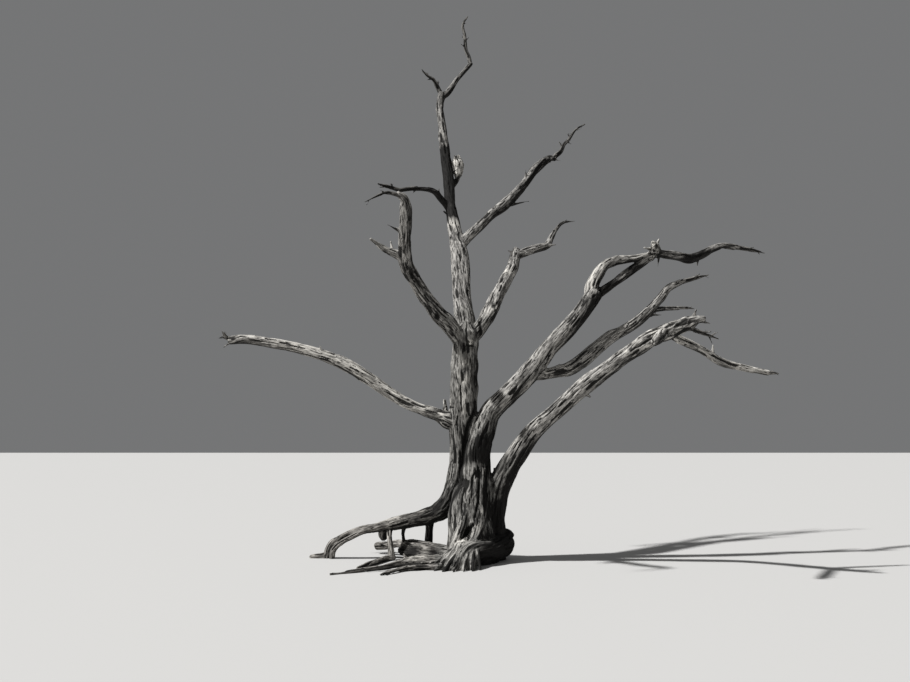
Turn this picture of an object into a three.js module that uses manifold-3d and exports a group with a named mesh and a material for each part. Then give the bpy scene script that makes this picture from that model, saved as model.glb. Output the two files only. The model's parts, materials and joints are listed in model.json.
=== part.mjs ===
// A dead tree: three stems from one flared foot, bare boughs with snapped ends, and roots over the ground.
// Millimetres. +X is to the right of the tree's front, +Y to its back, +Z up from the flat cut at its foot.
import * as THREE from "three";
import { mergeVertices } from "three/addons/utils/BufferGeometryUtils.js";
import Module from "manifold-3d";

// Driving dimensions
const CLEARANCE = 0.3; // between a limb and the one that it grows from
const GROUND = 0; // the level of the flat cut
const SINK_DEPTH = 600; // how far the block below the ground reaches
const SPREAD = 9000; // wider than the whole tree
const BOUGH_SIDES = 8; // faces round a bough
const STEM_SIDES = 10; // faces round a stem, the leader and the longest bough
const TRUNK_SIDES = 14; // faces round each part of the trunk
const RINGS_PER_STATION = 1.5; // along a limb
const TWIG_SIDES = 6; // faces round a twig
const SNAG_SIDES = 5; // faces round a snapped stub of a twig
const FLUTE_DEPTH = 0.05; // of a limb's radius
const FLUTES = 3; // soft ridges round a limb
const FLUTE_TWIST = 2; // radians that the ridges turn along a limb
const SPUR_TAPER = 0.35; // of a spur's root, at its tip

// A twig's spurs stand from the first to the last of these shares of its length, each turned in radians
// from the one before. They are this long at least and this much shorter at the tip, as shares of their
// reach, and as thick as this share of the twig. They lean towards its tip, with some sway.
const SPURS = {
  first: 0.25, last: 0.9, turn: 2.4, least: 0.6, shorter: 0.5,
  girth: 0.6, lean: 0.7, sway: 0.8,
};

// Wood colours, from the weathered grey of the trunk to the bleached ends
const TRUNK_WOOD = new THREE.MeshStandardMaterial({ color: 0x55524e, roughness: 0.9, metalness: 0 });
const BOUGH_WOOD = new THREE.MeshStandardMaterial({ color: 0x6a6762, roughness: 0.88, metalness: 0 });
const PALE_WOOD = new THREE.MeshStandardMaterial({ color: 0x8d8981, roughness: 0.85, metalness: 0 });
const ROOT_WOOD = new THREE.MeshStandardMaterial({ color: 0x5f5b55, roughness: 0.92, metalness: 0 });
const TWIG_WOOD = new THREE.MeshStandardMaterial({ color: 0x77736c, roughness: 0.9, metalness: 0 });

// A limb's route is a few stations from its root to its tip: x, y, z of its middle and its radius there.
// The trunk is the foot, the left stem up to its fork, and the stumps that the other two stems stand on.
const LEFT_STEM = [
  [-300, 130, -80, 150], [-312, 110, 480, 146], [-350, 78, 900, 150], [-302, 55, 1180, 160],
  [-284, 40, 1450, 168], [-284, 30, 1700, 178], [-270, 50, 2270, 186], [-250, 90, 2700, 168],
  [-240, 100, 2860, 160],
];
const MIDDLE_STUMP = [
  [-170, -180, -80, 330], [-180, -165, 250, 302], [-200, -130, 560, 272], [-188, -100, 740, 248],
  [-135, -70, 940, 214], [-110, -50, 1370, 178], [-75, -45, 1490, 172],
];
const RIGHT_STUMP = [
  [60, 90, -80, 200], [80, 60, 310, 174], [112, 0, 620, 150], [165, -70, 900, 146], [208, -98, 1010, 148],
];

// The left stem's flare down to the long root, rounded wood that rolls over the foot's front with a skirt
// under its left end, a burl at its right, and ridges down its sides
const FOOT_SWELLINGS = [
  [
    [-316, 60, 1240, 90], [-345, 58, 1050, 124], [-401, 55, 830, 142], [-490, 55, 670, 140],
    [-570, 60, 605, 130],
  ],
  [
    [-330, -640, 10, 150], [-240, -560, 140, 136], [-40, -380, 160, 145], [130, -110, 170, 155],
    [230, 60, 200, 140], [170, 130, 380, 80],
  ],
  [[-250, -430, 300, 60], [-310, -540, 150, 130], [-370, -620, -40, 225]],
  [[170, 80, 220, 50], [225, 94, 262, 92], [285, 102, 290, 94], [338, 106, 298, 56], [358, 108, 300, 22]],
  [[-225, -270, 760, 50], [-285, -400, 480, 64], [-395, -460, 210, 72], [-455, -490, -40, 80]],
  [
    [-40, -205, 1150, 44], [-42, -256, 840, 56], [-55, -325, 560, 60], [-140, -430, 330, 60],
    [-215, -490, 230, 56],
  ],
  [[60, -110, 320, 40], [85, -125, 620, 42], [104, -140, 900, 40], [112, -140, 1150, 18]],
  [[-215, -100, 1300, 40], [-185, -110, 1500, 42], [-152, -100, 1690, 30], [-130, -92, 1800, 10]],
  [[-330, 220, 420, 80], [-400, 330, 150, 90], [-470, 390, -40, 95]],
  [[20, 200, 480, 80], [50, 330, 180, 100], [80, 410, -40, 105]],
  [[-150, 120, 700, 90], [-170, 260, 260, 110], [-190, 360, -40, 120]],
];

// The fan of flutes where the skirt meets the ground at the front left. The flutes start between two places
// on the roll and run, by a knee that bulges, to feet on a ring round the middle, between the two headings in
// degrees. Each is at least the lesser radius thick and at most the greater.
const FAN = {
  start: [-345, -480, 240], end: [-130, -480, 290], middle: [-380, -640], reach: 280, from: 192, to: 322,
  flutes: 9, least: 22, most: 40, knee: 0.55, bulge: 1.15, seed: 7,
};

const MIDDLE_STEM = [
  [-125, -60, 1300, 120], [-82, -46, 1470, 160], [-30, -30, 1600, 162], [60, -5, 1840, 142],
  [180, 0, 1975, 134], [420, 0, 2200, 134], [640, 0, 2440, 134], [820, 0, 2670, 118], [1040, 5, 2895, 115],
  [1250, 40, 3130, 110], [1370, 100, 3290, 115], [1440, 130, 3390, 112],
];
const RIGHT_STEM = [
  [165, -75, 880, 100], [222, -103, 1030, 140], [420, -150, 1360, 125], [600, -205, 1610, 112],
  [810, -260, 1800, 98], [1010, -320, 1980, 104], [1210, -380, 2160, 110], [1480, -480, 2360, 99],
  [1720, -720, 2550, 94], [1930, -1000, 2695, 100], [2100, -1200, 2765, 102], [2260, -1350, 2830, 74],
  [2360, -1450, 2865, 48], [2425, -1500, 2875, 30],
];
const LEADER = [
  [-240, 110, 2800, 148], [-250, 250, 3070, 136], [-290, 400, 3350, 122], [-320, 730, 3960, 128],
  [-370, 950, 4330, 106], [-450, 1250, 4850, 80], [-480, 1520, 5300, 87], [-530, 1720, 5740, 76],
  [-580, 1870, 6240, 63], [-615, 1960, 6560, 62], [-590, 2030, 6810, 58],
];
const LEADER_TOP = [
  [-590, 2020, 6750, 44], [-500, 2040, 6830, 50], [-352, 2115, 7075, 37], [-185, 2180, 7300, 37],
  [-132, 2200, 7370, 36],
];
const LEADER_BURL = [
  [-430, 1480, 5180, 36], [-355, 1580, 5320, 36], [-338, 1660, 5480, 76], [-345, 1700, 5600, 96],
  [-350, 1720, 5715, 50],
];
const CROSS_BOUGH = [
  [-440, 1215, 4740, 46], [-590, 1200, 4950, 50], [-690, 1150, 5040, 43], [-940, 980, 5030, 36],
  [-1180, 820, 4960, 34],
];
const LEFT_UPPER_BOUGH = [
  [-330, 60, 2780, 95], [-460, 0, 2980, 114], [-600, -80, 3110, 104], [-740, -220, 3280, 89],
  [-880, -450, 3470, 87], [-980, -700, 3650, 90], [-990, -900, 3840, 80], [-968, -1100, 4010, 78],
  [-958, -1250, 4190, 70], [-975, -1340, 4290, 50], [-1045, -1395, 4330, 31],
];
const LEFT_UPPER_STUB = [
  [-985, -740, 3680, 58], [-1100, -780, 3745, 55], [-1210, -800, 3790, 42], [-1400, -890, 3910, 22],
];
const RIGHT_UPPER_BOUGH = [
  [-180, 110, 2800, 92], [-30, 150, 2990, 92], [110, 420, 3260, 98], [210, 650, 3490, 89],
  [340, 950, 3740, 90], [430, 1120, 3900, 88], [480, 1290, 4100, 78], [500, 1350, 4230, 52],
];
const RIGHT_UPPER_TIP = [
  [480, 1290, 4110, 56], [590, 1370, 4175, 64], [800, 1500, 4270, 65], [990, 1650, 4360, 54],
  [1040, 1700, 4460, 45], [1115, 1775, 4600, 34],
];
const HIGH_RIGHT_BOUGH = [
  [-320, 850, 4160, 78], [-200, 950, 4330, 76], [-90, 1100, 4460, 70], [130, 1350, 4730, 68],
  [360, 1600, 4960, 82], [640, 1950, 5320, 67], [840, 2150, 5630, 73], [1100, 2390, 5890, 58],
  [1190, 2420, 5890, 40],
];
const MIDDLE_LOOP = [
  [1400, 120, 3340, 88], [1410, 155, 3490, 92], [1500, 200, 3660, 84], [1600, 220, 3790, 64],
  [1770, 250, 3860, 60], [2010, 280, 3895, 47], [2160, 300, 3935, 42], [2248, 308, 3962, 40],
];
const MIDDLE_BRACE = [
  [1440, 170, 3370, 70], [1570, 185, 3455, 60], [1720, 220, 3560, 54], [1930, 300, 3720, 65],
  [2110, 325, 3840, 54], [2190, 332, 3895, 46], [2252, 336, 3925, 44],
];
const MIDDLE_KNOB = [
  [2270, 330, 3920, 56], [2285, 310, 3990, 82], [2270, 270, 4060, 62], [2240, 240, 4110, 30],
];
const MIDDLE_TIP = [
  [2300, 320, 3985, 50], [2420, 380, 3970, 58], [2630, 500, 3970, 63], [2800, 620, 3955, 70],
  [3000, 760, 4030, 62], [3210, 900, 4145, 56], [3380, 1000, 4210, 46], [3600, 1140, 4222, 44],
];
const SIDE_BOUGH = [
  [560, -10, 2330, 62], [720, 0, 2330, 70], [910, 40, 2370, 77], [1100, 70, 2420, 94],
  [1290, 100, 2550, 97], [1640, 170, 2830, 90], [1810, 200, 2920, 74], [2040, 250, 3070, 72],
  [2340, 320, 3360, 60], [2450, 340, 3500, 52], [2620, 370, 3590, 42],
];
const SIDE_BRANCH = [[2200, 310, 3200, 38], [2440, 480, 3250, 36], [2650, 580, 3270, 29]];
const LOW_RIGHT_BOUGH = [
  [2090, -1170, 2740, 56], [2190, -1110, 2695, 58], [2320, -1060, 2640, 52], [2520, -1000, 2555, 47],
  [2760, -950, 2420, 50], [3020, -880, 2360, 40], [3360, -800, 2300, 36],
];
const FRONT_STUB = [
  [2040, -1200, 2750, 56], [1950, -1450, 2690, 62], [1850, -1700, 2620, 60], [1770, -1880, 2570, 44],
];
const LEFT_LONG_BOUGH = [
  [-300, 30, 1660, 96], [-470, 25, 1750, 112], [-610, 35, 1822, 82], [-860, 50, 1905, 73],
  [-1130, 90, 2040, 75], [-1460, 130, 2260, 81], [-1760, 170, 2445, 83], [-2030, 200, 2565, 77],
  [-2420, 240, 2685, 72], [-2840, 270, 2770, 67], [-3120, 290, 2815, 63], [-3350, 300, 2805, 56],
];

const ROOT_LONG = [
  [-500, 57, 660, 95], [-600, 65, 590, 116], [-700, 82, 542, 111], [-950, 120, 482, 94],
  [-1150, 145, 440, 82], [-1280, 155, 408, 68], [-1406, 165, 382, 58], [-1533, 170, 363, 56],
  [-1661, 175, 332, 48], [-1789, 180, 283, 43], [-1878, 185, 232, 44], [-1949, 188, 183, 52],
  [-1993, 190, 100, 54], [-2022, 190, -40, 56],
];
const ROOT_CROSSING = [
  [-1215, 130, 360, 36], [-1210, 70, 250, 36], [-1195, 30, 150, 40], [-1183, -5, 60, 45],
  [-1178, -20, -40, 46],
];
const ROOT_SECOND = [
  [-330, -330, 90, 88], [-524, -141, 115, 88], [-691, -6, 128, 92], [-921, 179, 137, 99],
  [-1040, 310, 150, 68], [-1134, 420, 152, 54], [-1265, 520, 120, 54], [-1420, 600, 100, 52],
];
const ROOT_THIRD = [
  [-560, -585, 90, 62], [-660, -590, 76, 63], [-760, -560, 66, 62], [-866, -505, 60, 60],
  [-960, -500, 48, 48], [-1044, -530, 40, 38], [-1152, -690, 35, 33], [-1259, -833, 29, 28],
  [-1367, -927, 24, 25], [-1473, -1015, 20, 25], [-1579, -1090, 17, 23], [-1706, -1166, 12, 19],
  [-1785, -1235, 6, 14],
];
const ROOT_FOURTH = [
  [-575, -850, 44, 38], [-655, -850, 36, 32], [-745, -845, 32, 30], [-848, -890, 35, 35],
  [-940, -915, 34, 34], [-1016, -995, 29, 28], [-1088, -1115, 23, 25], [-1172, -1213, 15, 21],
  [-1215, -1270, 9, 15],
];

// More routes of the same solid. The long root has a leg, a snapped stub under it, a strand along its front
// and its last stretch along the ground. The crossing root runs on over the ground, and the second root has
// a strand low down along its front.
const STRANDS = {
  root_long: [
    [[-700, 100, 520, 66], [-716, 165, 330, 50], [-728, 220, 140, 52], [-740, 260, -40, 62]],
    [[-1290, 180, 380, 50], [-1312, 220, 300, 56], [-1295, 270, 240, 50]],
    [
      [-1520, 135, 352, 34], [-1603, 115, 322, 34], [-1700, 108, 275, 34], [-1790, 108, 226, 34],
      [-1885, 120, 165, 36], [-1938, 130, 90, 40], [-1950, 132, -40, 42],
    ],
    [[-1985, 190, 34, 52], [-2070, 188, 20, 50], [-2150, 188, 14, 45], [-2222, 185, 12, 34]],
  ],
  root_crossing: [
    [
      [-1150, 25, 30, 40], [-1240, -90, 34, 42], [-1320, -300, 30, 37], [-1420, -600, 26, 34],
      [-1520, -820, 12, 24],
    ],
  ],
  root_second: [
    [
      [-420, -350, 40, 60], [-620, -200, 45, 60], [-900, 30, 60, 56], [-1030, 160, 76, 50],
      [-1090, 240, 92, 40],
    ],
  ],
};

// A mass is the last twigs past a bough's end: its own route, its spurs and how far they reach.
const MASSES = {
  leader_top_twigs: {
    route: [
      [-140, 2197, 7352, 30], [-165, 2235, 7490, 33], [-210, 2285, 7625, 31], [-228, 2360, 7880, 26],
      [-258, 2430, 8100, 20], [-182, 2500, 8275, 11],
    ],
    spurs: 5, reach: 90, seed: 3,
  },
  leader_side_twigs: {
    route: [
      [-590, 2030, 6790, 34], [-650, 2018, 6910, 35], [-720, 2000, 7030, 28], [-810, 1975, 7080, 20],
      [-900, 1950, 7170, 10],
    ],
    spurs: 5, reach: 100, seed: 8,
  },
  cross_twigs: {
    route: [[-1150, 840, 4970, 29], [-1310, 730, 4990, 29], [-1450, 650, 5010, 13]],
    spurs: 3, reach: 130, seed: 21,
  },
  left_upper_twigs: {
    route: [
      [-1020, -1375, 4320, 26], [-1150, -1450, 4330, 24], [-1210, -1480, 4312, 19], [-1400, -1600, 4180, 9],
    ],
    spurs: 3, reach: 110, seed: 5,
  },
  right_upper_twigs: {
    route: [[1100, 1760, 4570, 28], [1230, 1850, 4730, 24], [1430, 1950, 4790, 10]],
    spurs: 2, reach: 80, seed: 13,
  },
  high_right_twigs: {
    route: [
      [1150, 2400, 5886, 20], [1232, 2458, 5964, 40], [1300, 2500, 6040, 36], [1360, 2560, 6170, 31],
      [1450, 2640, 6290, 25], [1570, 2720, 6470, 18], [1730, 2800, 6590, 10],
    ],
    spurs: 6, reach: 170, seed: 34,
  },
  middle_tip_twigs: {
    route: [[3570, 1120, 4220, 36], [3840, 1270, 4212, 32], [4110, 1400, 4190, 11]],
    spurs: 3, reach: 90, seed: 55,
  },
  side_bough_twigs: {
    route: [[2590, 365, 3575, 34], [2800, 400, 3640, 32], [3020, 430, 3700, 10]],
    spurs: 3, reach: 100, seed: 89,
  },
  side_branch_twigs: {
    route: [[2620, 570, 3268, 23], [2740, 605, 3275, 22], [2870, 640, 3270, 11]],
    spurs: 2, reach: 70, seed: 14,
  },
  right_end_twigs: {
    route: [[2230, -1340, 2800, 36], [2400, -1290, 2745, 28], [2660, -1200, 2670, 11]],
    spurs: 4, reach: 150, seed: 23,
  },
  low_right_twigs: {
    route: [[3330, -806, 2302, 29], [3410, -790, 2302, 24], [3490, -775, 2296, 10]],
    spurs: 3, reach: 70, seed: 37,
  },
  left_long_twigs: {
    route: [[-3320, 298, 2806, 44], [-3400, 300, 2840, 26], [-3450, 300, 2865, 10]],
    spurs: 4, reach: 130, seed: 61,
  },
};

// Snapped stubs on a limb: how far along it, the angle round it in degrees (90 is up), how far it stands out,
// its radius at the root, and its lean towards the limb's tip. One with a long lean is a split sliver.
const SNAGS = {
  right_stem: [[0.46, 270, 50, 46, 0.3], [0.95, 90, 90, 30, 1], [0.97, 300, 110, 26, 1.5]],
  leader: [[0.47, 20, 70, 40, 0.6], [0.66, 150, 60, 34, 0.6], [0.83, 240, 50, 26, 0.6]],
  leader_burl: [[0.8, 60, 60, 40, 0.6], [0.9, 220, 60, 34, 0.6]],
  cross_bough: [[0.3, 90, 60, 24, 1], [0.7, 240, 50, 20, 0.6]],
  left_upper_bough: [[0.76, 180, 170, 34, 0.6]],
  left_upper_stub: [[0.35, 100, 100, 26, 0.6]],
  right_upper_bough: [[0.96, 10, 60, 26, 0.5]],
  right_upper_tip: [[0.12, 200, 120, 34, 0.6], [0.64, 190, 100, 32, 0.6]],
  high_right_bough: [
    [0.42, 270, 620, 30, 3.6], [0.71, 100, 110, 30, 0.8], [0.92, 190, 130, 22, 1.6],
    [0.975, 215, 110, 18, 1.4],
  ],
  middle_knob: [[0.4, 200, 90, 30, 0.4], [0.55, 70, 80, 30, 0.6], [0.7, 310, 70, 26, 0.6]],
  middle_tip: [[0.03, 270, 130, 24, 0], [0.5, 270, 70, 28, -0.5]],
  side_bough: [[0.06, 90, 220, 24, 2.2], [0.72, 300, 240, 30, 1.2]],
  low_right_bough: [[0.46, 100, 90, 28, -0.6]],
  front_stub: [[0.75, 60, 110, 30, 0.6]],
  left_long_bough: [[0.07, 110, 150, 50, 0.6], [0.62, 80, 50, 28, 0.6], [0.985, 270, 110, 20, 1.6]],
  root_long: [[0.55, 200, 90, 40, 0.6]],
  root_third: [[0.27, 90, 60, 34, 0.4]],
};

const wasm = await Module();
wasm.setup();

// A repeatable run of numbers from 0 to 1, for the twigs' spurs and the fan's flutes
function seeded(seed) {
  let state = seed;
  return () => {
    state = (state + 0x6d2b79f5) | 0;
    let mixed = Math.imul(state ^ (state >>> 15), 1 | state);
    mixed = (mixed + Math.imul(mixed ^ (mixed >>> 7), 61 | mixed)) ^ mixed;
    return ((mixed ^ (mixed >>> 14)) >>> 0) / 4294967296;
  };
}

function solidOf(geometry) {
  geometry.deleteAttribute("normal");
  geometry.deleteAttribute("uv");
  const merged = mergeVertices(geometry);
  return new wasm.Manifold(new wasm.Mesh({
    numProp: 3,
    vertProperties: merged.attributes.position.array,
    triVerts: new Uint32Array(merged.index.array),
  }));
}

// The smooth middle line of a route, and the radius at any share of its length
function lineOf(route) {
  const middles = route.map(([x, y, z]) => new THREE.Vector3(x, y, z));
  const curve = new THREE.CatmullRomCurve3(middles, false, "centripetal");
  const radiusAt = (share) => {
    const place = curve.getUtoTmapping(share) * (route.length - 1);
    const before = Math.min(Math.floor(place), route.length - 2);
    const blend = THREE.MathUtils.smoothstep(place - before, 0, 1);
    return THREE.MathUtils.lerp(route[before][3], route[before + 1][3], blend);
  };
  return { curve, radiusAt };
}

// One tapering limb: a cylinder whose rings are laid along the route, with soft flutes round it
function limb(route, { sides = BOUGH_SIDES, rings, grow = 0 } = {}) {
  const { curve, radiusAt } = lineOf(route);
  const steps = rings ?? Math.ceil(RINGS_PER_STATION * (route.length - 1));
  const frames = curve.computeFrenetFrames(steps, false);
  const geometry = new THREE.CylinderGeometry(1, 1, 1, sides, steps);
  const position = geometry.attributes.position;
  for (let index = 0; index < position.count; index += 1) {
    const ring = Math.round((position.getY(index) + 0.5) * steps);
    const share = ring / steps;
    const across = position.getX(index);
    const over = -position.getZ(index);
    const angle = Math.atan2(over, across);
    const flute = 1 + FLUTE_DEPTH * Math.cos(FLUTES * angle + FLUTE_TWIST * share);
    const radius = radiusAt(share) * flute + grow;
    const end = ring === 0 ? -grow : ring === steps ? grow : 0;
    const point = curve.getPointAt(share)
      .addScaledVector(frames.tangents[ring], end)
      .addScaledVector(frames.normals[ring], across * radius)
      .addScaledVector(frames.binormals[ring], over * radius);
    position.setXYZ(index, point.x, point.y, point.z);
  }
  return solidOf(geometry);
}

// A spur or snag: a short straight cone that starts inside its limb and leans towards the limb's tip
function spur(line, { share, angle, length, radius, lean, grow }) {
  const root = line.curve.getPointAt(share);
  const along = line.curve.getTangentAt(share);
  const side = new THREE.Vector3(0, 0, 1).cross(along).normalize();
  const up = along.clone().cross(side);
  const out = side.multiplyScalar(Math.cos(angle)).addScaledVector(up, Math.sin(angle));
  const heading = out.addScaledVector(along, lean).normalize();
  const tip = root.clone().addScaledVector(heading, line.radiusAt(share) + length);
  const route = [[...root.toArray(), radius], [...tip.toArray(), radius * SPUR_TAPER]];
  return limb(route, { sides: SNAG_SIDES, rings: 1, grow });
}

function bough(name, route, grow, options = {}) {
  const line = lineOf(route);
  let solid = limb(route, { ...options, grow });
  for (const strand of STRANDS[name] ?? []) {
    solid = solid.add(limb(strand, { grow }));
  }
  for (const [share, degrees, length, radius, lean] of SNAGS[name] ?? []) {
    const angle = THREE.MathUtils.degToRad(degrees);
    solid = solid.add(spur(line, { share, angle, length, radius, lean, grow }));
  }
  return solid;
}

function fanFlutes() {
  const { lerp, degToRad } = THREE.MathUtils;
  const random = seeded(FAN.seed);
  return Array.from({ length: FAN.flutes }, (_, count) => {
    const share = count / (FAN.flutes - 1);
    const [x, y, z] = FAN.start.map((value, axis) => lerp(value, FAN.end[axis], share));
    const heading = degToRad(lerp(FAN.from, FAN.to, share));
    const footX = FAN.middle[0] + FAN.reach * Math.cos(heading);
    const footY = FAN.middle[1] + FAN.reach * Math.sin(heading);
    const radius = lerp(FAN.least, FAN.most, random());
    const knee = [lerp(x, footX, FAN.knee), lerp(y, footY, FAN.knee), z / 2, FAN.bulge * radius];
    return [[x, y, z, radius], knee, [footX, footY, -radius / 2, radius]];
  });
}

function trunk(grow) {
  let solid = limb(LEFT_STEM, { sides: TRUNK_SIDES, grow });
  for (const route of [MIDDLE_STUMP, RIGHT_STUMP]) {
    solid = solid.add(limb(route, { sides: TRUNK_SIDES, grow }));
  }
  for (const route of FOOT_SWELLINGS) {
    solid = solid.add(limb(route, { grow }));
  }
  for (const route of fanFlutes()) {
    solid = solid.add(limb(route, { sides: TWIG_SIDES, grow }));
  }
  return solid;
}

// A mass of twigs: one stem, and spurs turning round it, shorter towards its tip
function mass({ route, spurs, reach, seed }, grow) {
  const random = seeded(seed);
  const line = lineOf(route);
  let solid = limb(route, { sides: TWIG_SIDES, grow });
  for (let count = 0; count < spurs; count += 1) {
    const share = THREE.MathUtils.lerp(SPURS.first, SPURS.last, (count + random()) / spurs);
    const angle = count * SPURS.turn + random();
    const length = reach * THREE.MathUtils.lerp(SPURS.least, 1, random()) * (1 - SPURS.shorter * share);
    const radius = SPURS.girth * line.radiusAt(share);
    const lean = SPURS.lean + SPURS.sway * random();
    solid = solid.add(spur(line, { share, angle, length, radius, lean, grow }));
  }
  return solid;
}

function blockUnderGround() {
  const block = new THREE.BoxGeometry(SPREAD, SPREAD, SINK_DEPTH);
  block.translate(0, 0, GROUND - SINK_DEPTH / 2);
  return solidOf(block);
}

const ROUTES = {
  root_long: [ROOT_LONG, ROOT_WOOD, { sides: STEM_SIDES }],
  middle_stem: [MIDDLE_STEM, BOUGH_WOOD, { sides: STEM_SIDES }],
  right_stem: [RIGHT_STEM, BOUGH_WOOD, { sides: STEM_SIDES }],
  leader: [LEADER, BOUGH_WOOD, { sides: STEM_SIDES }],
  left_upper_bough: [LEFT_UPPER_BOUGH, BOUGH_WOOD],
  right_upper_bough: [RIGHT_UPPER_BOUGH, BOUGH_WOOD],
  high_right_bough: [HIGH_RIGHT_BOUGH, BOUGH_WOOD],
  left_long_bough: [LEFT_LONG_BOUGH, PALE_WOOD, { sides: STEM_SIDES }],
  side_bough: [SIDE_BOUGH, BOUGH_WOOD],
  middle_brace: [MIDDLE_BRACE, BOUGH_WOOD],
  middle_loop: [MIDDLE_LOOP, PALE_WOOD],
  middle_knob: [MIDDLE_KNOB, PALE_WOOD],
  middle_tip: [MIDDLE_TIP, BOUGH_WOOD],
  leader_top: [LEADER_TOP, BOUGH_WOOD],
  leader_burl: [LEADER_BURL, PALE_WOOD],
  cross_bough: [CROSS_BOUGH, BOUGH_WOOD],
  left_upper_stub: [LEFT_UPPER_STUB, PALE_WOOD],
  right_upper_tip: [RIGHT_UPPER_TIP, BOUGH_WOOD],
  side_branch: [SIDE_BRANCH, BOUGH_WOOD],
  low_right_bough: [LOW_RIGHT_BOUGH, PALE_WOOD],
  front_stub: [FRONT_STUB, PALE_WOOD],
  root_crossing: [ROOT_CROSSING, ROOT_WOOD],
  root_second: [ROOT_SECOND, ROOT_WOOD],
  root_third: [ROOT_THIRD, ROOT_WOOD],
  root_fourth: [ROOT_FOURTH, ROOT_WOOD],
};

// Each node in turn is cut clear of those before it, so a limb begins where its parent's surface ends.
const tree = new THREE.Group();
const taken = [];
const underGround = blockUnderGround();

function plant(name, build, material) {
  let solid = build(0).subtract(underGround);
  for (const earlier of taken) {
    solid = solid.subtract(earlier);
  }
  const { vertProperties, triVerts } = solid.getMesh();
  const geometry = new THREE.BufferGeometry();
  geometry.setAttribute("position", new THREE.BufferAttribute(vertProperties, 3));
  geometry.setIndex(new THREE.BufferAttribute(triVerts, 1));
  geometry.computeVertexNormals();
  const mesh = new THREE.Mesh(geometry, material);
  mesh.name = name;
  tree.add(mesh);
  taken.push(build(CLEARANCE));
}

plant("trunk", trunk, TRUNK_WOOD);
for (const [name, [route, material, options]] of Object.entries(ROUTES)) {
  plant(name, (grow) => bough(name, route, grow, options), material);
}
for (const [name, shape] of Object.entries(MASSES)) {
  plant(name, (grow) => mass(shape, grow), TWIG_WOOD);
}

export default tree;
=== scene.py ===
# %% [markdown]
# # A dead tree
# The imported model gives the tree's limbs as plain solids with at most fourteen faces round. This lesson
# grows the same limbs again from the same routes, melts them into one skin of wood, carves the grain and
# its cracks into that skin, and cuts it into pieces that each stand for some of the solids.
# The other way would be to smooth and bump the solids themselves, but then every fork would keep its
# straight seam, and on a real dead tree the grain flows through a fork.

import json
import math

import bpy
import numpy as np
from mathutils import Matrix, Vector


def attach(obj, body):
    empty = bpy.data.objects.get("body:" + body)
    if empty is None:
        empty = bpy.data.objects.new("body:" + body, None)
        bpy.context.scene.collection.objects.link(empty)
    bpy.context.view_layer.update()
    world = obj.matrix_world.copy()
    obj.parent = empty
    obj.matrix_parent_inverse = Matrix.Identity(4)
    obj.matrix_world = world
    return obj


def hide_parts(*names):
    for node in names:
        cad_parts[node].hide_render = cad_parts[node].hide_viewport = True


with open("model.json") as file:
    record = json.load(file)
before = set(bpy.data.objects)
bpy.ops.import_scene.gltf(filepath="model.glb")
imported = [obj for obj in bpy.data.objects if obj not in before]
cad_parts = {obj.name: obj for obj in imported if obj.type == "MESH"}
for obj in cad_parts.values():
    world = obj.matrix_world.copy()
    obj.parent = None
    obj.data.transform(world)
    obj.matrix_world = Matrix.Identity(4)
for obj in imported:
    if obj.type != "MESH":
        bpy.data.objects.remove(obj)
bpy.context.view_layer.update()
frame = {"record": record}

# %% [markdown]
# ## The camera
# The picture was taken from eye height, well below the middle of the tree, so the camera tips up by a few
# degrees. A camera could be turned by hand until its view looks right, but here its lens is worked out from
# the picture's width, so that each limb falls on its place. The camera comes first, because how fine a
# detail has to be depends on how large it is in the picture.

# %% The camera
PHOTO_WIDTH = 910  # pixels
FOCAL_PIXELS = 920
SENSOR_WIDTH = 36.0  # millimetres
CAMERA_PLACE = (-0.384, -11.77, 1.6)
CAMERA_TIPPED_UP = 5.65  # degrees

bpy.ops.object.camera_add(location=CAMERA_PLACE, rotation=(math.radians(90 + CAMERA_TIPPED_UP), 0, 0))
camera = bpy.context.object
camera.data.sensor_width = SENSOR_WIDTH
camera.data.lens = SENSOR_WIDTH * FOCAL_PIXELS / PHOTO_WIDTH
bpy.context.scene.camera = camera
pixel = round(-1000 * CAMERA_PLACE[1] / FOCAL_PIXELS, 1)
print("lens:", round(camera.data.lens, 2), "mm, one pixel at the trunk:", pixel, "mm")

# %% [markdown]
# ## The routes of the limbs
# A limb is a few stations from its root to its tip, each with the place of its middle and its radius
# there, in metres. They are the same stations as the solids have, so each limb of wood lies where its
# solid is. The trunk is the foot, the left stem up to its fork, and the stumps of the other two stems.

# %% The trunk's stem and stumps
LEFT_STEM = [
    (-0.3, 0.13, -0.08, 0.15), (-0.312, 0.11, 0.48, 0.146), (-0.35, 0.078, 0.9, 0.15),
    (-0.302, 0.055, 1.18, 0.16), (-0.284, 0.04, 1.45, 0.168), (-0.284, 0.03, 1.7, 0.178),
    (-0.27, 0.05, 2.27, 0.186), (-0.25, 0.09, 2.7, 0.168), (-0.24, 0.1, 2.86, 0.16),
]
MIDDLE_STUMP = [
    (-0.17, -0.18, -0.08, 0.33), (-0.18, -0.165, 0.25, 0.302), (-0.2, -0.13, 0.56, 0.272),
    (-0.188, -0.1, 0.74, 0.248), (-0.135, -0.07, 0.94, 0.214), (-0.11, -0.05, 1.37, 0.178),
    (-0.075, -0.045, 1.49, 0.172),
]
RIGHT_STUMP = [
    (0.06, 0.09, -0.08, 0.2), (0.08, 0.06, 0.31, 0.174), (0.112, 0.0, 0.62, 0.15),
    (0.165, -0.07, 0.9, 0.146), (0.208, -0.098, 1.01, 0.148),
]
print("stations in the stem and stumps:", len(LEFT_STEM + MIDDLE_STUMP + RIGHT_STUMP))

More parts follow.
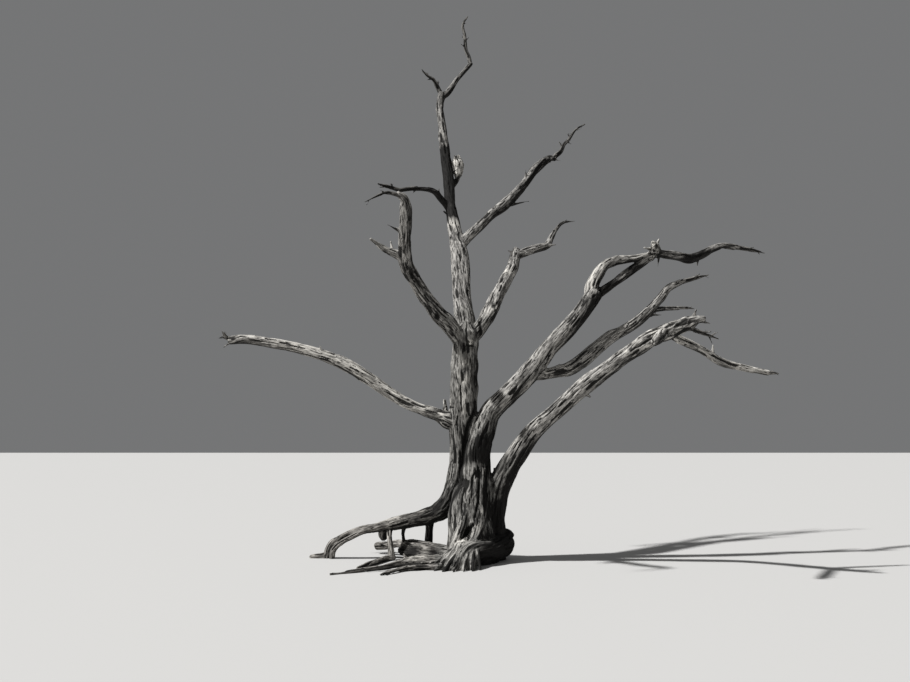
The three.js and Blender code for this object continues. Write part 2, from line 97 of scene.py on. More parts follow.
# %% [markdown]
# ## The foot
# A trunk's foot swells wherever a root leaves it. It could be sculpted as one lump, but its swellings cross
# and roll over each other, so each is a short limb sunk into the rest: the left stem's flare down to the
# long root, wood that rolls over the front with a skirt under its left end, the burl at its right, four
# ridges down the sides, and three flares at the back.

# %% The foot's swellings
FOOT_SWELLINGS = [
    [
        (-0.316, 0.06, 1.24, 0.09), (-0.345, 0.058, 1.05, 0.124), (-0.401, 0.055, 0.83, 0.142),
        (-0.49, 0.055, 0.67, 0.14), (-0.57, 0.06, 0.605, 0.13),
    ],
    [
        (-0.33, -0.64, 0.01, 0.15), (-0.24, -0.56, 0.14, 0.136), (-0.04, -0.38, 0.16, 0.145),
        (0.13, -0.11, 0.17, 0.155), (0.23, 0.06, 0.2, 0.14), (0.17, 0.13, 0.38, 0.08),
    ],
    [(-0.25, -0.43, 0.3, 0.06), (-0.31, -0.54, 0.15, 0.13), (-0.37, -0.62, -0.04, 0.225)],
    [
        (0.17, 0.08, 0.22, 0.05), (0.225, 0.094, 0.262, 0.092), (0.285, 0.102, 0.29, 0.094),
        (0.338, 0.106, 0.298, 0.056), (0.358, 0.108, 0.3, 0.022),
    ],
    [
        (-0.225, -0.27, 0.76, 0.05), (-0.285, -0.4, 0.48, 0.064), (-0.395, -0.46, 0.21, 0.072),
        (-0.455, -0.49, -0.04, 0.08),
    ],
    [
        (-0.04, -0.205, 1.15, 0.044), (-0.042, -0.256, 0.84, 0.056), (-0.055, -0.325, 0.56, 0.06),
        (-0.14, -0.43, 0.33, 0.06), (-0.215, -0.49, 0.23, 0.056),
    ],
    [
        (0.06, -0.11, 0.32, 0.04), (0.085, -0.125, 0.62, 0.042), (0.104, -0.14, 0.9, 0.04),
        (0.112, -0.14, 1.15, 0.018),
    ],
    [
        (-0.215, -0.1, 1.3, 0.04), (-0.185, -0.11, 1.5, 0.042), (-0.152, -0.1, 1.69, 0.03),
        (-0.13, -0.092, 1.8, 0.01),
    ],
    [(-0.33, 0.22, 0.42, 0.08), (-0.4, 0.33, 0.15, 0.09), (-0.47, 0.39, -0.04, 0.095)],
    [(0.02, 0.2, 0.48, 0.08), (0.05, 0.33, 0.18, 0.1), (0.08, 0.41, -0.04, 0.105)],
    [(-0.15, 0.12, 0.7, 0.09), (-0.17, 0.26, 0.26, 0.11), (-0.19, 0.36, -0.04, 0.12)],
]
print("swellings of the foot:", len(FOOT_SWELLINGS))

# %% [markdown]
# ## The fan of flutes
# At the front left the foot runs out into a fan of flutes. Each could have its own stations, but they all go
# alike: from between two places on the roll, by a bulging knee, to a foot on a ring round the fan's middle.
# So a loop makes them, with a drawn radius for each. Thin ones stand among the thick ones and reach further.

# %% The fan
FAN_START, FAN_END = (-0.345, -0.48, 0.24), (-0.13, -0.48, 0.29)
FAN_MIDDLE = (-0.38, -0.64)
FAN_FROM, FAN_TO = 192, 322  # degrees
FAN_KNEE, FAN_BULGE = 0.55, 1.15  # shares of the way and of the radius
THICK_FLUTES = {"flutes": 9, "least": 0.022, "most": 0.04, "reach": 0.28, "seed": 7}
THIN_FLUTES = {"flutes": 8, "least": 0.012, "most": 0.022, "reach": 0.37, "seed": 12}


def seeded(state):
    """A repeatable run of numbers from 0 to 1, the same as the solids use."""
    whole = 0xFFFFFFFF
    while True:
        state = (state + 0x6D2B79F5) & whole
        mixed = ((state ^ (state >> 15)) * (1 | state)) & whole
        mixed = ((mixed + ((mixed ^ (mixed >> 7)) * (61 | mixed))) ^ mixed) & whole
        yield (mixed ^ (mixed >> 14)) / 2**32


def fan_flutes(flutes, least, most, reach, seed):
    """The routes of a fan of flutes, with their radius drawn between the least and the most."""
    draw = seeded(seed)
    for count in range(flutes):
        share = count / (flutes - 1)
        x, y, z = (a + (b - a) * share for a, b in zip(FAN_START, FAN_END))
        heading = math.radians(FAN_FROM + (FAN_TO - FAN_FROM) * share)
        foot_x = FAN_MIDDLE[0] + reach * math.cos(heading)
        foot_y = FAN_MIDDLE[1] + reach * math.sin(heading)
        radius = least + (most - least) * next(draw)
        knee = (x + (foot_x - x) * FAN_KNEE, y + (foot_y - y) * FAN_KNEE, z / 2, FAN_BULGE * radius)
        yield [(x, y, z, radius), knee, (foot_x, foot_y, -radius / 2, radius)]


print("flutes in the fan:", THICK_FLUTES["flutes"] + THIN_FLUTES["flutes"])

# %% [markdown]
# ## Wood that no solid has
# A solid ends where the next one begins, but wood runs on, and a ledge would show at each end if it didn't.
# So the wood runs a little way on past four of the ends. Thin strands beside the third root and the fourth,
# one that hangs from the long root, and the fan's thin flutes are too thin to be solids, and are added too.

# %% Wood that runs on, and the whole trunk
RUN_ON = [
    [(-0.24, 0.1, 2.78, 0.158), (-0.245, 0.15, 3.0, 0.096)],
    [(-0.57, 0.06, 0.605, 0.13), (-0.7, 0.082, 0.542, 0.104)],
    [(-0.09, -0.05, 1.45, 0.165), (-0.02, -0.03, 1.64, 0.13)],
    [(0.2, -0.09, 0.99, 0.142), (0.29, -0.12, 1.14, 0.11)],
    [
        (-0.78, -0.65, 0.03, 0.03), (-0.98, -0.66, 0.028, 0.026), (-1.12, -0.79, 0.026, 0.024),
        (-1.22, -0.92, 0.022, 0.02), (-1.4, -1.02, 0.012, 0.014),
    ],
    [(-1.42, -0.98, 0.02, 0.02), (-1.56, -1.02, 0.016, 0.018), (-1.68, -1.09, 0.01, 0.012)],
    [(-1.08, -1.07, 0.02, 0.022), (-1.13, -1.2, 0.016, 0.018), (-1.16, -1.29, 0.01, 0.014)],
    [(-1.62, -1.1, 0.012, 0.016), (-1.72, -1.14, 0.012, 0.014), (-1.8, -1.17, 0.006, 0.01)],
    [(-0.62, -0.79, 0.03, 0.03), (-0.74, -0.8, 0.03, 0.026), (-0.86, -0.84, 0.028, 0.02)],
    [
        (-1.02, 0.15, 0.43, 0.034), (-1.05, 0.2, 0.3, 0.022), (-1.03, 0.22, 0.16, 0.026),
        (-1.0, 0.24, -0.04, 0.03),
    ],
    *fan_flutes(**THIN_FLUTES),
]
TRUNK = [LEFT_STEM, MIDDLE_STUMP, RIGHT_STUMP, *FOOT_SWELLINGS, *fan_flutes(**THICK_FLUTES)]
print("routes in the trunk:", len(TRUNK))

# %% [markdown]
# ## The stems and boughs
# A bough of a dead tree bends wherever a branch once stood, so its route has a station at each bend, and it
# ends bluntly where its last twigs begin. It could be a curve drawn by hand, but a list of stations can be
# read, measured and changed, and the solids use the same one.

# %% The stems and boughs
BOUGHS = {
    "middle_stem": [
        (-0.125, -0.06, 1.3, 0.12), (-0.082, -0.046, 1.47, 0.16), (-0.03, -0.03, 1.6, 0.162),
        (0.06, -0.005, 1.84, 0.142), (0.18, 0.0, 1.975, 0.134), (0.42, 0.0, 2.2, 0.134),
        (0.64, 0.0, 2.44, 0.134), (0.82, 0.0, 2.67, 0.118), (1.04, 0.005, 2.895, 0.115),
        (1.25, 0.04, 3.13, 0.11), (1.37, 0.1, 3.29, 0.115), (1.44, 0.13, 3.39, 0.112),
    ],
    "right_stem": [
        (0.165, -0.075, 0.88, 0.1), (0.222, -0.103, 1.03, 0.14), (0.42, -0.15, 1.36, 0.125),
        (0.6, -0.205, 1.61, 0.112), (0.81, -0.26, 1.8, 0.098), (1.01, -0.32, 1.98, 0.104),
        (1.21, -0.38, 2.16, 0.11), (1.48, -0.48, 2.36, 0.099), (1.72, -0.72, 2.55, 0.094),
        (1.93, -1.0, 2.695, 0.1), (2.1, -1.2, 2.765, 0.102), (2.26, -1.35, 2.83, 0.074),
        (2.36, -1.45, 2.865, 0.048), (2.425, -1.5, 2.875, 0.03),
    ],
    "leader": [
        (-0.24, 0.11, 2.8, 0.148), (-0.25, 0.25, 3.07, 0.136), (-0.29, 0.4, 3.35, 0.122),
        (-0.32, 0.73, 3.96, 0.128), (-0.37, 0.95, 4.33, 0.106), (-0.45, 1.25, 4.85, 0.08),
        (-0.48, 1.52, 5.3, 0.087), (-0.53, 1.72, 5.74, 0.076), (-0.58, 1.87, 6.24, 0.063),
        (-0.615, 1.96, 6.56, 0.062), (-0.59, 2.03, 6.81, 0.058),
    ],
    "leader_top": [
        (-0.59, 2.02, 6.75, 0.044), (-0.5, 2.04, 6.83, 0.05), (-0.352, 2.115, 7.075, 0.037),
        (-0.185, 2.18, 7.3, 0.037), (-0.132, 2.2, 7.37, 0.036),
    ],
    "leader_burl": [
        (-0.43, 1.48, 5.18, 0.036), (-0.355, 1.58, 5.32, 0.036), (-0.338, 1.66, 5.48, 0.076),
        (-0.345, 1.7, 5.6, 0.096), (-0.35, 1.72, 5.715, 0.05),
    ],
    "cross_bough": [
        (-0.44, 1.215, 4.74, 0.046), (-0.59, 1.2, 4.95, 0.05), (-0.69, 1.15, 5.04, 0.043),
        (-0.94, 0.98, 5.03, 0.036), (-1.18, 0.82, 4.96, 0.034),
    ],
    "left_upper_bough": [
        (-0.33, 0.06, 2.78, 0.095), (-0.46, 0.0, 2.98, 0.114), (-0.6, -0.08, 3.11, 0.104),
        (-0.74, -0.22, 3.28, 0.089), (-0.88, -0.45, 3.47, 0.087), (-0.98, -0.7, 3.65, 0.09),
        (-0.99, -0.9, 3.84, 0.08), (-0.968, -1.1, 4.01, 0.078), (-0.958, -1.25, 4.19, 0.07),
        (-0.975, -1.34, 4.29, 0.05), (-1.045, -1.395, 4.33, 0.031),
    ],
    "left_upper_stub": [
        (-0.985, -0.74, 3.68, 0.058), (-1.1, -0.78, 3.745, 0.055), (-1.21, -0.8, 3.79, 0.042),
        (-1.4, -0.89, 3.91, 0.022),
    ],
    "right_upper_bough": [
        (-0.18, 0.11, 2.8, 0.092), (-0.03, 0.15, 2.99, 0.092), (0.11, 0.42, 3.26, 0.098),
        (0.21, 0.65, 3.49, 0.089), (0.34, 0.95, 3.74, 0.09), (0.43, 1.12, 3.9, 0.088),
        (0.48, 1.29, 4.1, 0.078), (0.5, 1.35, 4.23, 0.052),
    ],
    "right_upper_tip": [
        (0.48, 1.29, 4.11, 0.056), (0.59, 1.37, 4.175, 0.064), (0.8, 1.5, 4.27, 0.065),
        (0.99, 1.65, 4.36, 0.054), (1.04, 1.7, 4.46, 0.045), (1.115, 1.775, 4.6, 0.034),
    ],
    "high_right_bough": [
        (-0.32, 0.85, 4.16, 0.078), (-0.2, 0.95, 4.33, 0.076), (-0.09, 1.1, 4.46, 0.07),
        (0.13, 1.35, 4.73, 0.068), (0.36, 1.6, 4.96, 0.082), (0.64, 1.95, 5.32, 0.067),
        (0.84, 2.15, 5.63, 0.073), (1.1, 2.39, 5.89, 0.058), (1.19, 2.42, 5.89, 0.04),
    ],
    "middle_loop": [
        (1.4, 0.12, 3.34, 0.088), (1.41, 0.155, 3.49, 0.092), (1.5, 0.2, 3.66, 0.084),
        (1.6, 0.22, 3.79, 0.064), (1.77, 0.25, 3.86, 0.06), (2.01, 0.28, 3.895, 0.047),
        (2.16, 0.3, 3.935, 0.042), (2.248, 0.308, 3.962, 0.04),
    ],
    "middle_brace": [
        (1.44, 0.17, 3.37, 0.07), (1.57, 0.185, 3.455, 0.06), (1.72, 0.22, 3.56, 0.054),
        (1.93, 0.3, 3.72, 0.065), (2.11, 0.325, 3.84, 0.054), (2.19, 0.332, 3.895, 0.046),
        (2.252, 0.336, 3.925, 0.044),
    ],
    "middle_knob": [
        (2.27, 0.33, 3.92, 0.056), (2.285, 0.31, 3.99, 0.082), (2.27, 0.27, 4.06, 0.062),
        (2.24, 0.24, 4.11, 0.03),
    ],
    "middle_tip": [
        (2.3, 0.32, 3.985, 0.05), (2.42, 0.38, 3.97, 0.058), (2.63, 0.5, 3.97, 0.063),
        (2.8, 0.62, 3.955, 0.07), (3.0, 0.76, 4.03, 0.062), (3.21, 0.9, 4.145, 0.056),
        (3.38, 1.0, 4.21, 0.046), (3.6, 1.14, 4.222, 0.044),
    ],
    "side_bough": [
        (0.56, -0.01, 2.33, 0.062), (0.72, 0.0, 2.33, 0.07), (0.91, 0.04, 2.37, 0.077),
        (1.1, 0.07, 2.42, 0.094), (1.29, 0.1, 2.55, 0.097), (1.64, 0.17, 2.83, 0.09),
        (1.81, 0.2, 2.92, 0.074), (2.04, 0.25, 3.07, 0.072), (2.34, 0.32, 3.36, 0.06),
        (2.45, 0.34, 3.5, 0.052), (2.62, 0.37, 3.59, 0.042),
    ],
    "side_branch": [(2.2, 0.31, 3.2, 0.038), (2.44, 0.48, 3.25, 0.036), (2.65, 0.58, 3.27, 0.029)],
    "low_right_bough": [
        (2.09, -1.17, 2.74, 0.056), (2.19, -1.11, 2.695, 0.058), (2.32, -1.06, 2.64, 0.052),
        (2.52, -1.0, 2.555, 0.047), (2.76, -0.95, 2.42, 0.05), (3.02, -0.88, 2.36, 0.04),
        (3.36, -0.8, 2.3, 0.036),
    ],
    "front_stub": [
        (2.04, -1.2, 2.75, 0.056), (1.95, -1.45, 2.69, 0.062), (1.85, -1.7, 2.62, 0.06),
        (1.77, -1.88, 2.57, 0.044),
    ],
    "left_long_bough": [
        (-0.3, 0.03, 1.66, 0.096), (-0.47, 0.025, 1.75, 0.112), (-0.61, 0.035, 1.822, 0.082),
        (-0.86, 0.05, 1.905, 0.073), (-1.13, 0.09, 2.04, 0.075), (-1.46, 0.13, 2.26, 0.081),
        (-1.76, 0.17, 2.445, 0.083), (-2.03, 0.2, 2.565, 0.077), (-2.42, 0.24, 2.685, 0.072),
        (-2.84, 0.27, 2.77, 0.067), (-3.12, 0.29, 2.815, 0.063), (-3.35, 0.3, 2.805, 0.056),
    ],
}
print("stems and boughs:", len(BOUGHS))

# %% [markdown]
# ## The roots over the ground
# The roots have been laid bare: a long one stands on legs of its own, and thinner ones lie flat. Some have a
# leg or a strand beside them. Those could be boughs with names of their own, but they belong to their root,
# so each root is a list of routes.

# %% The roots over the ground
ROOTS = {
    "root_long": [
        [
            (-0.5, 0.057, 0.66, 0.095), (-0.6, 0.065, 0.59, 0.116), (-0.7, 0.082, 0.542, 0.111),
            (-0.95, 0.12, 0.482, 0.094), (-1.15, 0.145, 0.44, 0.082), (-1.28, 0.155, 0.408, 0.068),
            (-1.406, 0.165, 0.382, 0.058), (-1.533, 0.17, 0.363, 0.056), (-1.661, 0.175, 0.332, 0.048),
            (-1.789, 0.18, 0.283, 0.043), (-1.878, 0.185, 0.232, 0.044), (-1.949, 0.188, 0.183, 0.052),
            (-1.993, 0.19, 0.1, 0.054), (-2.022, 0.19, -0.04, 0.056),
        ],
        # A leg, a snapped stub under the root, a strand along its front and its last stretch on the ground
        [
            (-0.7, 0.1, 0.52, 0.066), (-0.716, 0.165, 0.33, 0.05), (-0.728, 0.22, 0.14, 0.052),
            (-0.74, 0.26, -0.04, 0.062),
        ],
        [(-1.29, 0.18, 0.38, 0.05), (-1.312, 0.22, 0.3, 0.056), (-1.295, 0.27, 0.24, 0.05)],
        [
            (-1.52, 0.135, 0.352, 0.034), (-1.603, 0.115, 0.322, 0.034), (-1.7, 0.108, 0.275, 0.034),
            (-1.79, 0.108, 0.226, 0.034), (-1.885, 0.12, 0.165, 0.036), (-1.938, 0.13, 0.09, 0.04),
            (-1.95, 0.132, -0.04, 0.042),
        ],
        [
            (-1.985, 0.19, 0.034, 0.052), (-2.07, 0.188, 0.02, 0.05), (-2.15, 0.188, 0.014, 0.045),
            (-2.222, 0.185, 0.012, 0.034),
        ],
    ],
    # The crossing root and its run along the ground
    "root_crossing": [
        [
            (-1.215, 0.13, 0.36, 0.036), (-1.21, 0.07, 0.25, 0.036), (-1.195, 0.03, 0.15, 0.04),
            (-1.183, -0.005, 0.06, 0.045), (-1.178, -0.02, -0.04, 0.046),
        ],
        [
            (-1.15, 0.025, 0.03, 0.04), (-1.24, -0.09, 0.034, 0.042), (-1.32, -0.3, 0.03, 0.037),
            (-1.42, -0.6, 0.026, 0.034), (-1.52, -0.82, 0.012, 0.024),
        ],
    ],
    # The second root and a strand low down along its front, which is painted dark as the shade under the
    # root
    "root_second": [
        [
            (-0.33, -0.33, 0.09, 0.088), (-0.524, -0.141, 0.115, 0.088), (-0.691, -0.006, 0.128, 0.092),
            (-0.921, 0.179, 0.137, 0.099), (-1.04, 0.31, 0.15, 0.068), (-1.134, 0.42, 0.152, 0.054),
            (-1.265, 0.52, 0.12, 0.054), (-1.42, 0.6, 0.1, 0.052),
        ],
        [
            (-0.42, -0.35, 0.04, 0.06), (-0.62, -0.2, 0.045, 0.06), (-0.9, 0.03, 0.06, 0.056),
            (-1.03, 0.16, 0.076, 0.05), (-1.09, 0.24, 0.092, 0.04),
        ],
    ],
    "root_third": [[
        (-0.56, -0.585, 0.09, 0.062), (-0.66, -0.59, 0.076, 0.063), (-0.76, -0.56, 0.066, 0.062),
        (-0.866, -0.505, 0.06, 0.06), (-0.96, -0.5, 0.048, 0.048), (-1.044, -0.53, 0.04, 0.038),
        (-1.152, -0.69, 0.035, 0.033), (-1.259, -0.833, 0.029, 0.028), (-1.367, -0.927, 0.024, 0.025),
        (-1.473, -1.015, 0.02, 0.025), (-1.579, -1.09, 0.017, 0.023), (-1.706, -1.166, 0.012, 0.019),
        (-1.785, -1.235, 0.006, 0.014),
    ]],
    "root_fourth": [[
        (-0.575, -0.85, 0.044, 0.038), (-0.655, -0.85, 0.036, 0.032), (-0.745, -0.845, 0.032, 0.03),
        (-0.848, -0.89, 0.035, 0.035), (-0.94, -0.915, 0.034, 0.034), (-1.016, -0.995, 0.029, 0.028),
        (-1.088, -1.115, 0.023, 0.025), (-1.172, -1.213, 0.015, 0.021), (-1.215, -1.27, 0.009, 0.015),
    ]],
}
print("roots:", len(ROOTS))

# %% [markdown]
# ## From a route to a smooth line
# A curve through the stations is what a hand would draw with a Bezier curve and automatic handles. Here
# it is worked out by the solids' own rule, a centripetal spline, since that never loops at uneven
# stations, and the radius eases from each station to the next. Frames carried along the line without
# twisting give every point of the wood an angle round its limb.

# %% A line and its frames
SAMPLE_STEP = 0.012  # metres between two samples of a line
FIRST_SIDE = (0.3, 0.9, 0.1)  # a direction that no limb starts along


def line_of(route):
    """Samples of x, y, z and radius along a route."""
    stations = np.array(route)
    places = stations[:, :3]
    reached = np.vstack([2 * places[0] - places[1], places, 2 * places[-1] - places[-2]])
    samples = []
    for span in range(len(places) - 1):
        before, start, end, after = reached[span : span + 4]
        spans = (start - before, end - start, after - end)
        first, middle, last = (np.linalg.norm(span) ** 0.5 for span in spans)
        leaving = (start - before) / first - (end - before) / (first + middle) + (end - start) / middle
        arriving = (end - start) / middle - (after - start) / (middle + last) + (after - end) / last
        count = max(2, math.ceil(np.linalg.norm(end - start) / SAMPLE_STEP))
        t = (np.arange(count) / count)[:, None]
        place = start * (2 * t**3 - 3 * t**2 + 1) + end * (3 * t**2 - 2 * t**3)
        place += middle * (leaving * (t**3 - 2 * t**2 + t) + arriving * (t**3 - t**2))
        radius = stations[span, 3] + (stations[span + 1, 3] - stations[span, 3]) * t * t * (3 - 2 * t)
        samples.append(np.hstack([place, radius]))
    return np.vstack([*samples, stations[-1:]])


def frames_of(line):
    """The length along a line at each sample, and its directions along, to the side and over."""
    steps = np.linalg.norm(np.diff(line[:, :3], axis=0), axis=1)
    length = np.concatenate([[0], np.cumsum(steps)])
    along = np.gradient(line[:, :3], axis=0)
    along /= np.linalg.norm(along, axis=1)[:, None]
    side = np.zeros_like(along)
    side[0] = np.cross(along[0], FIRST_SIDE)
    for index in range(1, len(along)):
        side[index] = side[index - 1] - along[index] * (side[index - 1] @ along[index])
    side /= np.linalg.norm(side, axis=1)[:, None]
    return length, along, side, np.cross(along, side)


print("samples in the left stem:", len(line_of(LEFT_STEM)))

# %% [markdown]
# ## Snapped stubs
# Where a small branch has snapped off, a short cone still stands on the limb. A cone could be added by hand
# at each place, but a stub's place is better said along its limb and round it, because then the stub stays
# on the limb when a station moves. It is made by the same rule as on the solids.

# %% Snapped stubs
SPUR_TAPER = 0.35  # of the radius at a stub's root, at its tip

# Share along the limb, angle round it in degrees, how far it stands out, radius, lean to the tip
SNAGS = {
    "right_stem": [(0.46, 270, 0.05, 0.046, 0.3), (0.95, 90, 0.09, 0.03, 1), (0.97, 300, 0.11, 0.026, 1.5)],
    "leader": [(0.47, 20, 0.07, 0.04, 0.6), (0.66, 150, 0.06, 0.034, 0.6), (0.83, 240, 0.05, 0.026, 0.6)],
    "leader_burl": [(0.8, 60, 0.06, 0.04, 0.6), (0.9, 220, 0.06, 0.034, 0.6)],
    "cross_bough": [(0.3, 90, 0.06, 0.024, 1), (0.7, 240, 0.05, 0.02, 0.6)],
    "left_upper_bough": [(0.76, 180, 0.17, 0.034, 0.6)],
    "left_upper_stub": [(0.35, 100, 0.1, 0.026, 0.6)],
    "right_upper_bough": [(0.96, 10, 0.06, 0.026, 0.5)],
    "right_upper_tip": [(0.12, 200, 0.12, 0.034, 0.6), (0.64, 190, 0.1, 0.032, 0.6)],
    "high_right_bough": [
        (0.42, 270, 0.62, 0.03, 3.6), (0.71, 100, 0.11, 0.03, 0.8), (0.92, 190, 0.13, 0.022, 1.6),
        (0.975, 215, 0.11, 0.018, 1.4),
    ],
    "middle_knob": [(0.4, 200, 0.09, 0.03, 0.4), (0.55, 70, 0.08, 0.03, 0.6), (0.7, 310, 0.07, 0.026, 0.6)],
    "middle_tip": [(0.03, 270, 0.13, 0.024, 0), (0.5, 270, 0.07, 0.028, -0.5)],
    "side_bough": [(0.06, 90, 0.22, 0.024, 2.2), (0.72, 300, 0.24, 0.03, 1.2)],
    "low_right_bough": [(0.46, 100, 0.09, 0.028, -0.6)],
    "front_stub": [(0.75, 60, 0.11, 0.03, 0.6)],
    "left_long_bough": [
        (0.07, 110, 0.15, 0.05, 0.6), (0.62, 80, 0.05, 0.028, 0.6), (0.985, 270, 0.11, 0.02, 1.6),
    ],
    "root_long": [(0.55, 200, 0.09, 0.04, 0.6)],
    "root_third": [(0.27, 90, 0.06, 0.034, 0.4)],
}


def spur(line, share, angle, reach, radius, lean):
    """The route of a short cone that starts inside its limb and leans towards the limb's tip."""
    length, along, _, _ = frames_of(line)
    root = np.array([np.interp(share * length[-1], length, line[:, axis]) for axis in range(4)])
    heading = np.array([np.interp(share * length[-1], length, along[:, axis]) for axis in range(3)])
    side = np.cross((0, 0, 1), heading)
    side /= np.linalg.norm(side)
    out = side * math.cos(angle) + np.cross(heading, side) * math.sin(angle) + heading * lean
    tip = root[:3] + out / np.linalg.norm(out) * (root[3] + reach)
    return [(*root[:3], radius), (*tip, radius * SPUR_TAPER)]


def snags_on(name, route):
    """The routes of a limb's snapped stubs."""
    line = line_of(route)
    return [
        spur(line, share, math.radians(degrees), reach, radius, lean)
        for share, degrees, reach, radius, lean in SNAGS.get(name, [])
    ]


print("limbs with snapped stubs:", len(SNAGS))

# %% [markdown]
# ## The last twigs
# Past a bough's end its last twigs stand on one thin stem. Every twig could have a route of its own, but
# only the stems can be followed in the picture, so only they have one, with the number of spurs on it, how
# far these reach in metres, and the seed that they grow from.

# %% The stems of the last twigs
MASSES = {
    "leader_top_twigs": {
        "route": [
            (-0.14, 2.197, 7.352, 0.03), (-0.165, 2.235, 7.49, 0.033), (-0.21, 2.285, 7.625, 0.031),
            (-0.228, 2.36, 7.88, 0.026), (-0.258, 2.43, 8.1, 0.02), (-0.182, 2.5, 8.275, 0.011),
        ],
        "spurs": 5, "reach": 0.09, "seed": 3,
    },
    "leader_side_twigs": {
        "route": [
            (-0.59, 2.03, 6.79, 0.034), (-0.65, 2.018, 6.91, 0.035), (-0.72, 2.0, 7.03, 0.028),
            (-0.81, 1.975, 7.08, 0.02), (-0.9, 1.95, 7.17, 0.01),
        ],
        "spurs": 5, "reach": 0.1, "seed": 8,
    },
    "cross_twigs": {
        "route": [
            (-1.15, 0.84, 4.97, 0.029), (-1.31, 0.73, 4.99, 0.029), (-1.45, 0.65, 5.01, 0.013),
        ],
        "spurs": 3, "reach": 0.13, "seed": 21,
    },
    "left_upper_twigs": {
        "route": [
            (-1.02, -1.375, 4.32, 0.026), (-1.15, -1.45, 4.33, 0.024), (-1.21, -1.48, 4.312, 0.019),
            (-1.4, -1.6, 4.18, 0.009),
        ],
        "spurs": 3, "reach": 0.11, "seed": 5,
    },
    "right_upper_twigs": {
        "route": [
            (1.1, 1.76, 4.57, 0.028), (1.23, 1.85, 4.73, 0.024), (1.43, 1.95, 4.79, 0.01),
        ],
        "spurs": 2, "reach": 0.08, "seed": 13,
    },
    "high_right_twigs": {
        "route": [
            (1.15, 2.4, 5.886, 0.02), (1.232, 2.458, 5.964, 0.04), (1.3, 2.5, 6.04, 0.036),
            (1.36, 2.56, 6.17, 0.031), (1.45, 2.64, 6.29, 0.025), (1.57, 2.72, 6.47, 0.018),
            (1.73, 2.8, 6.59, 0.01),
        ],
        "spurs": 6, "reach": 0.17, "seed": 34,
    },
    "middle_tip_twigs": {
        "route": [
            (3.57, 1.12, 4.22, 0.036), (3.84, 1.27, 4.212, 0.032), (4.11, 1.4, 4.19, 0.011),
        ],
        "spurs": 3, "reach": 0.09, "seed": 55,
    },
    "side_bough_twigs": {
        "route": [
            (2.59, 0.365, 3.575, 0.034), (2.8, 0.4, 3.64, 0.032), (3.02, 0.43, 3.7, 0.01),
        ],
        "spurs": 3, "reach": 0.1, "seed": 89,
    },
    "side_branch_twigs": {
        "route": [
            (2.62, 0.57, 3.268, 0.023), (2.74, 0.605, 3.275, 0.022), (2.87, 0.64, 3.27, 0.011),
        ],
        "spurs": 2, "reach": 0.07, "seed": 14,
    },
    "right_end_twigs": {
        "route": [
            (2.23, -1.34, 2.8, 0.036), (2.4, -1.29, 2.745, 0.028), (2.66, -1.2, 2.67, 0.011),
        ],
        "spurs": 4, "reach": 0.15, "seed": 23,
    },
    "low_right_twigs": {
        "route": [
            (3.33, -0.806, 2.302, 0.029), (3.41, -0.79, 2.302, 0.024), (3.49, -0.775, 2.296, 0.01),
        ],
        "spurs": 3, "reach": 0.07, "seed": 37,
    },
    "left_long_twigs": {
        "route": [
            (-3.32, 0.298, 2.806, 0.044), (-3.4, 0.3, 2.84, 0.026), (-3.45, 0.3, 2.865, 0.01),
        ],
        "spurs": 4, "reach": 0.13, "seed": 61,
    },
}
print("masses of twigs:", len(MASSES))

# %% [markdown]
# ## Spurs and finer twigs
# Spurs turn round their stem and get shorter towards its tip. They could be copies of one modelled spur, but
# no two on a real twig are alike. They grow by the same rule as the solids' spurs do, with the same
# repeatable numbers, and carry finer twigs here that are too thin to be solids.

# %% Twigs grown by a rule
SPUR_FIRST, SPUR_LAST = 0.25, 0.9  # shares of the stem between which its spurs stand
SPUR_TURN = 2.4  # radians from each spur to the next
SPUR_LEAST, SPUR_SHORTER = 0.6, 0.5  # shares of the reach
SPUR_GIRTH = 0.6  # of the stem
SPUR_LEAN, SPUR_SWAY = 0.7, 0.8  # towards the stem's tip, as a share of the way out
TWIG_ORDERS = 2  # how many times twigs carry finer twigs beyond the solids' own
FINER_COUNT = 2  # finer twigs on each
FINER_REACH = 0.5  # of the twig that carries them
FINER_LEAST = 0.02  # metres


def spurs_on(line, spurs, reach, draw):
    """Routes of spurs turning round a stem, shorter towards its tip."""
    length, along, _, _ = frames_of(line)
    for count in range(spurs):
        share = SPUR_FIRST + (SPUR_LAST - SPUR_FIRST) * (count + next(draw)) / spurs
        angle = count * SPUR_TURN + next(draw)
        out = reach * (SPUR_LEAST + (1 - SPUR_LEAST) * next(draw)) * (1 - SPUR_SHORTER * share)
        radius = SPUR_GIRTH * float(np.interp(share * length[-1], length, line[:, 3]))
        yield spur(line, share, angle, out, radius, SPUR_LEAN + SPUR_SWAY * next(draw))


def twig_routes(route, spurs, reach, seed):
    """The routes of a mass: its stem, its spurs, and finer and finer twigs on those."""
    draw = seeded(seed)
    grown = list(spurs_on(line_of(route), spurs, reach, draw))
    routes = [route, *grown]
    for _ in range(TWIG_ORDERS):
        reach = max(reach * FINER_REACH, FINER_LEAST)
        grown = [twig for carrier in grown for twig in spurs_on(line_of(carrier), FINER_COUNT, reach, draw)]
        routes += grown
    return routes


print("twigs on the leader's top:", len(twig_routes(**MASSES["leader_top_twigs"])))

# %% [markdown]
# ## Limbs as tubes
# A limb tapers and bends at once. It could be extruded ring by ring from a circle, but a curve with a round
# bevel does that by itself, with the radius of each of its points. Each limb's end is rounded, because a
# snapped end is worn.

# %% A tube along each line
TUBE_BEVEL = 5  # half the faces round a tube, less two
END_STEPS = (0.35, 0.65, 0.85, 0.97)  # shares of an end's rounding
END_LENGTH = 0.5  # of the radius there


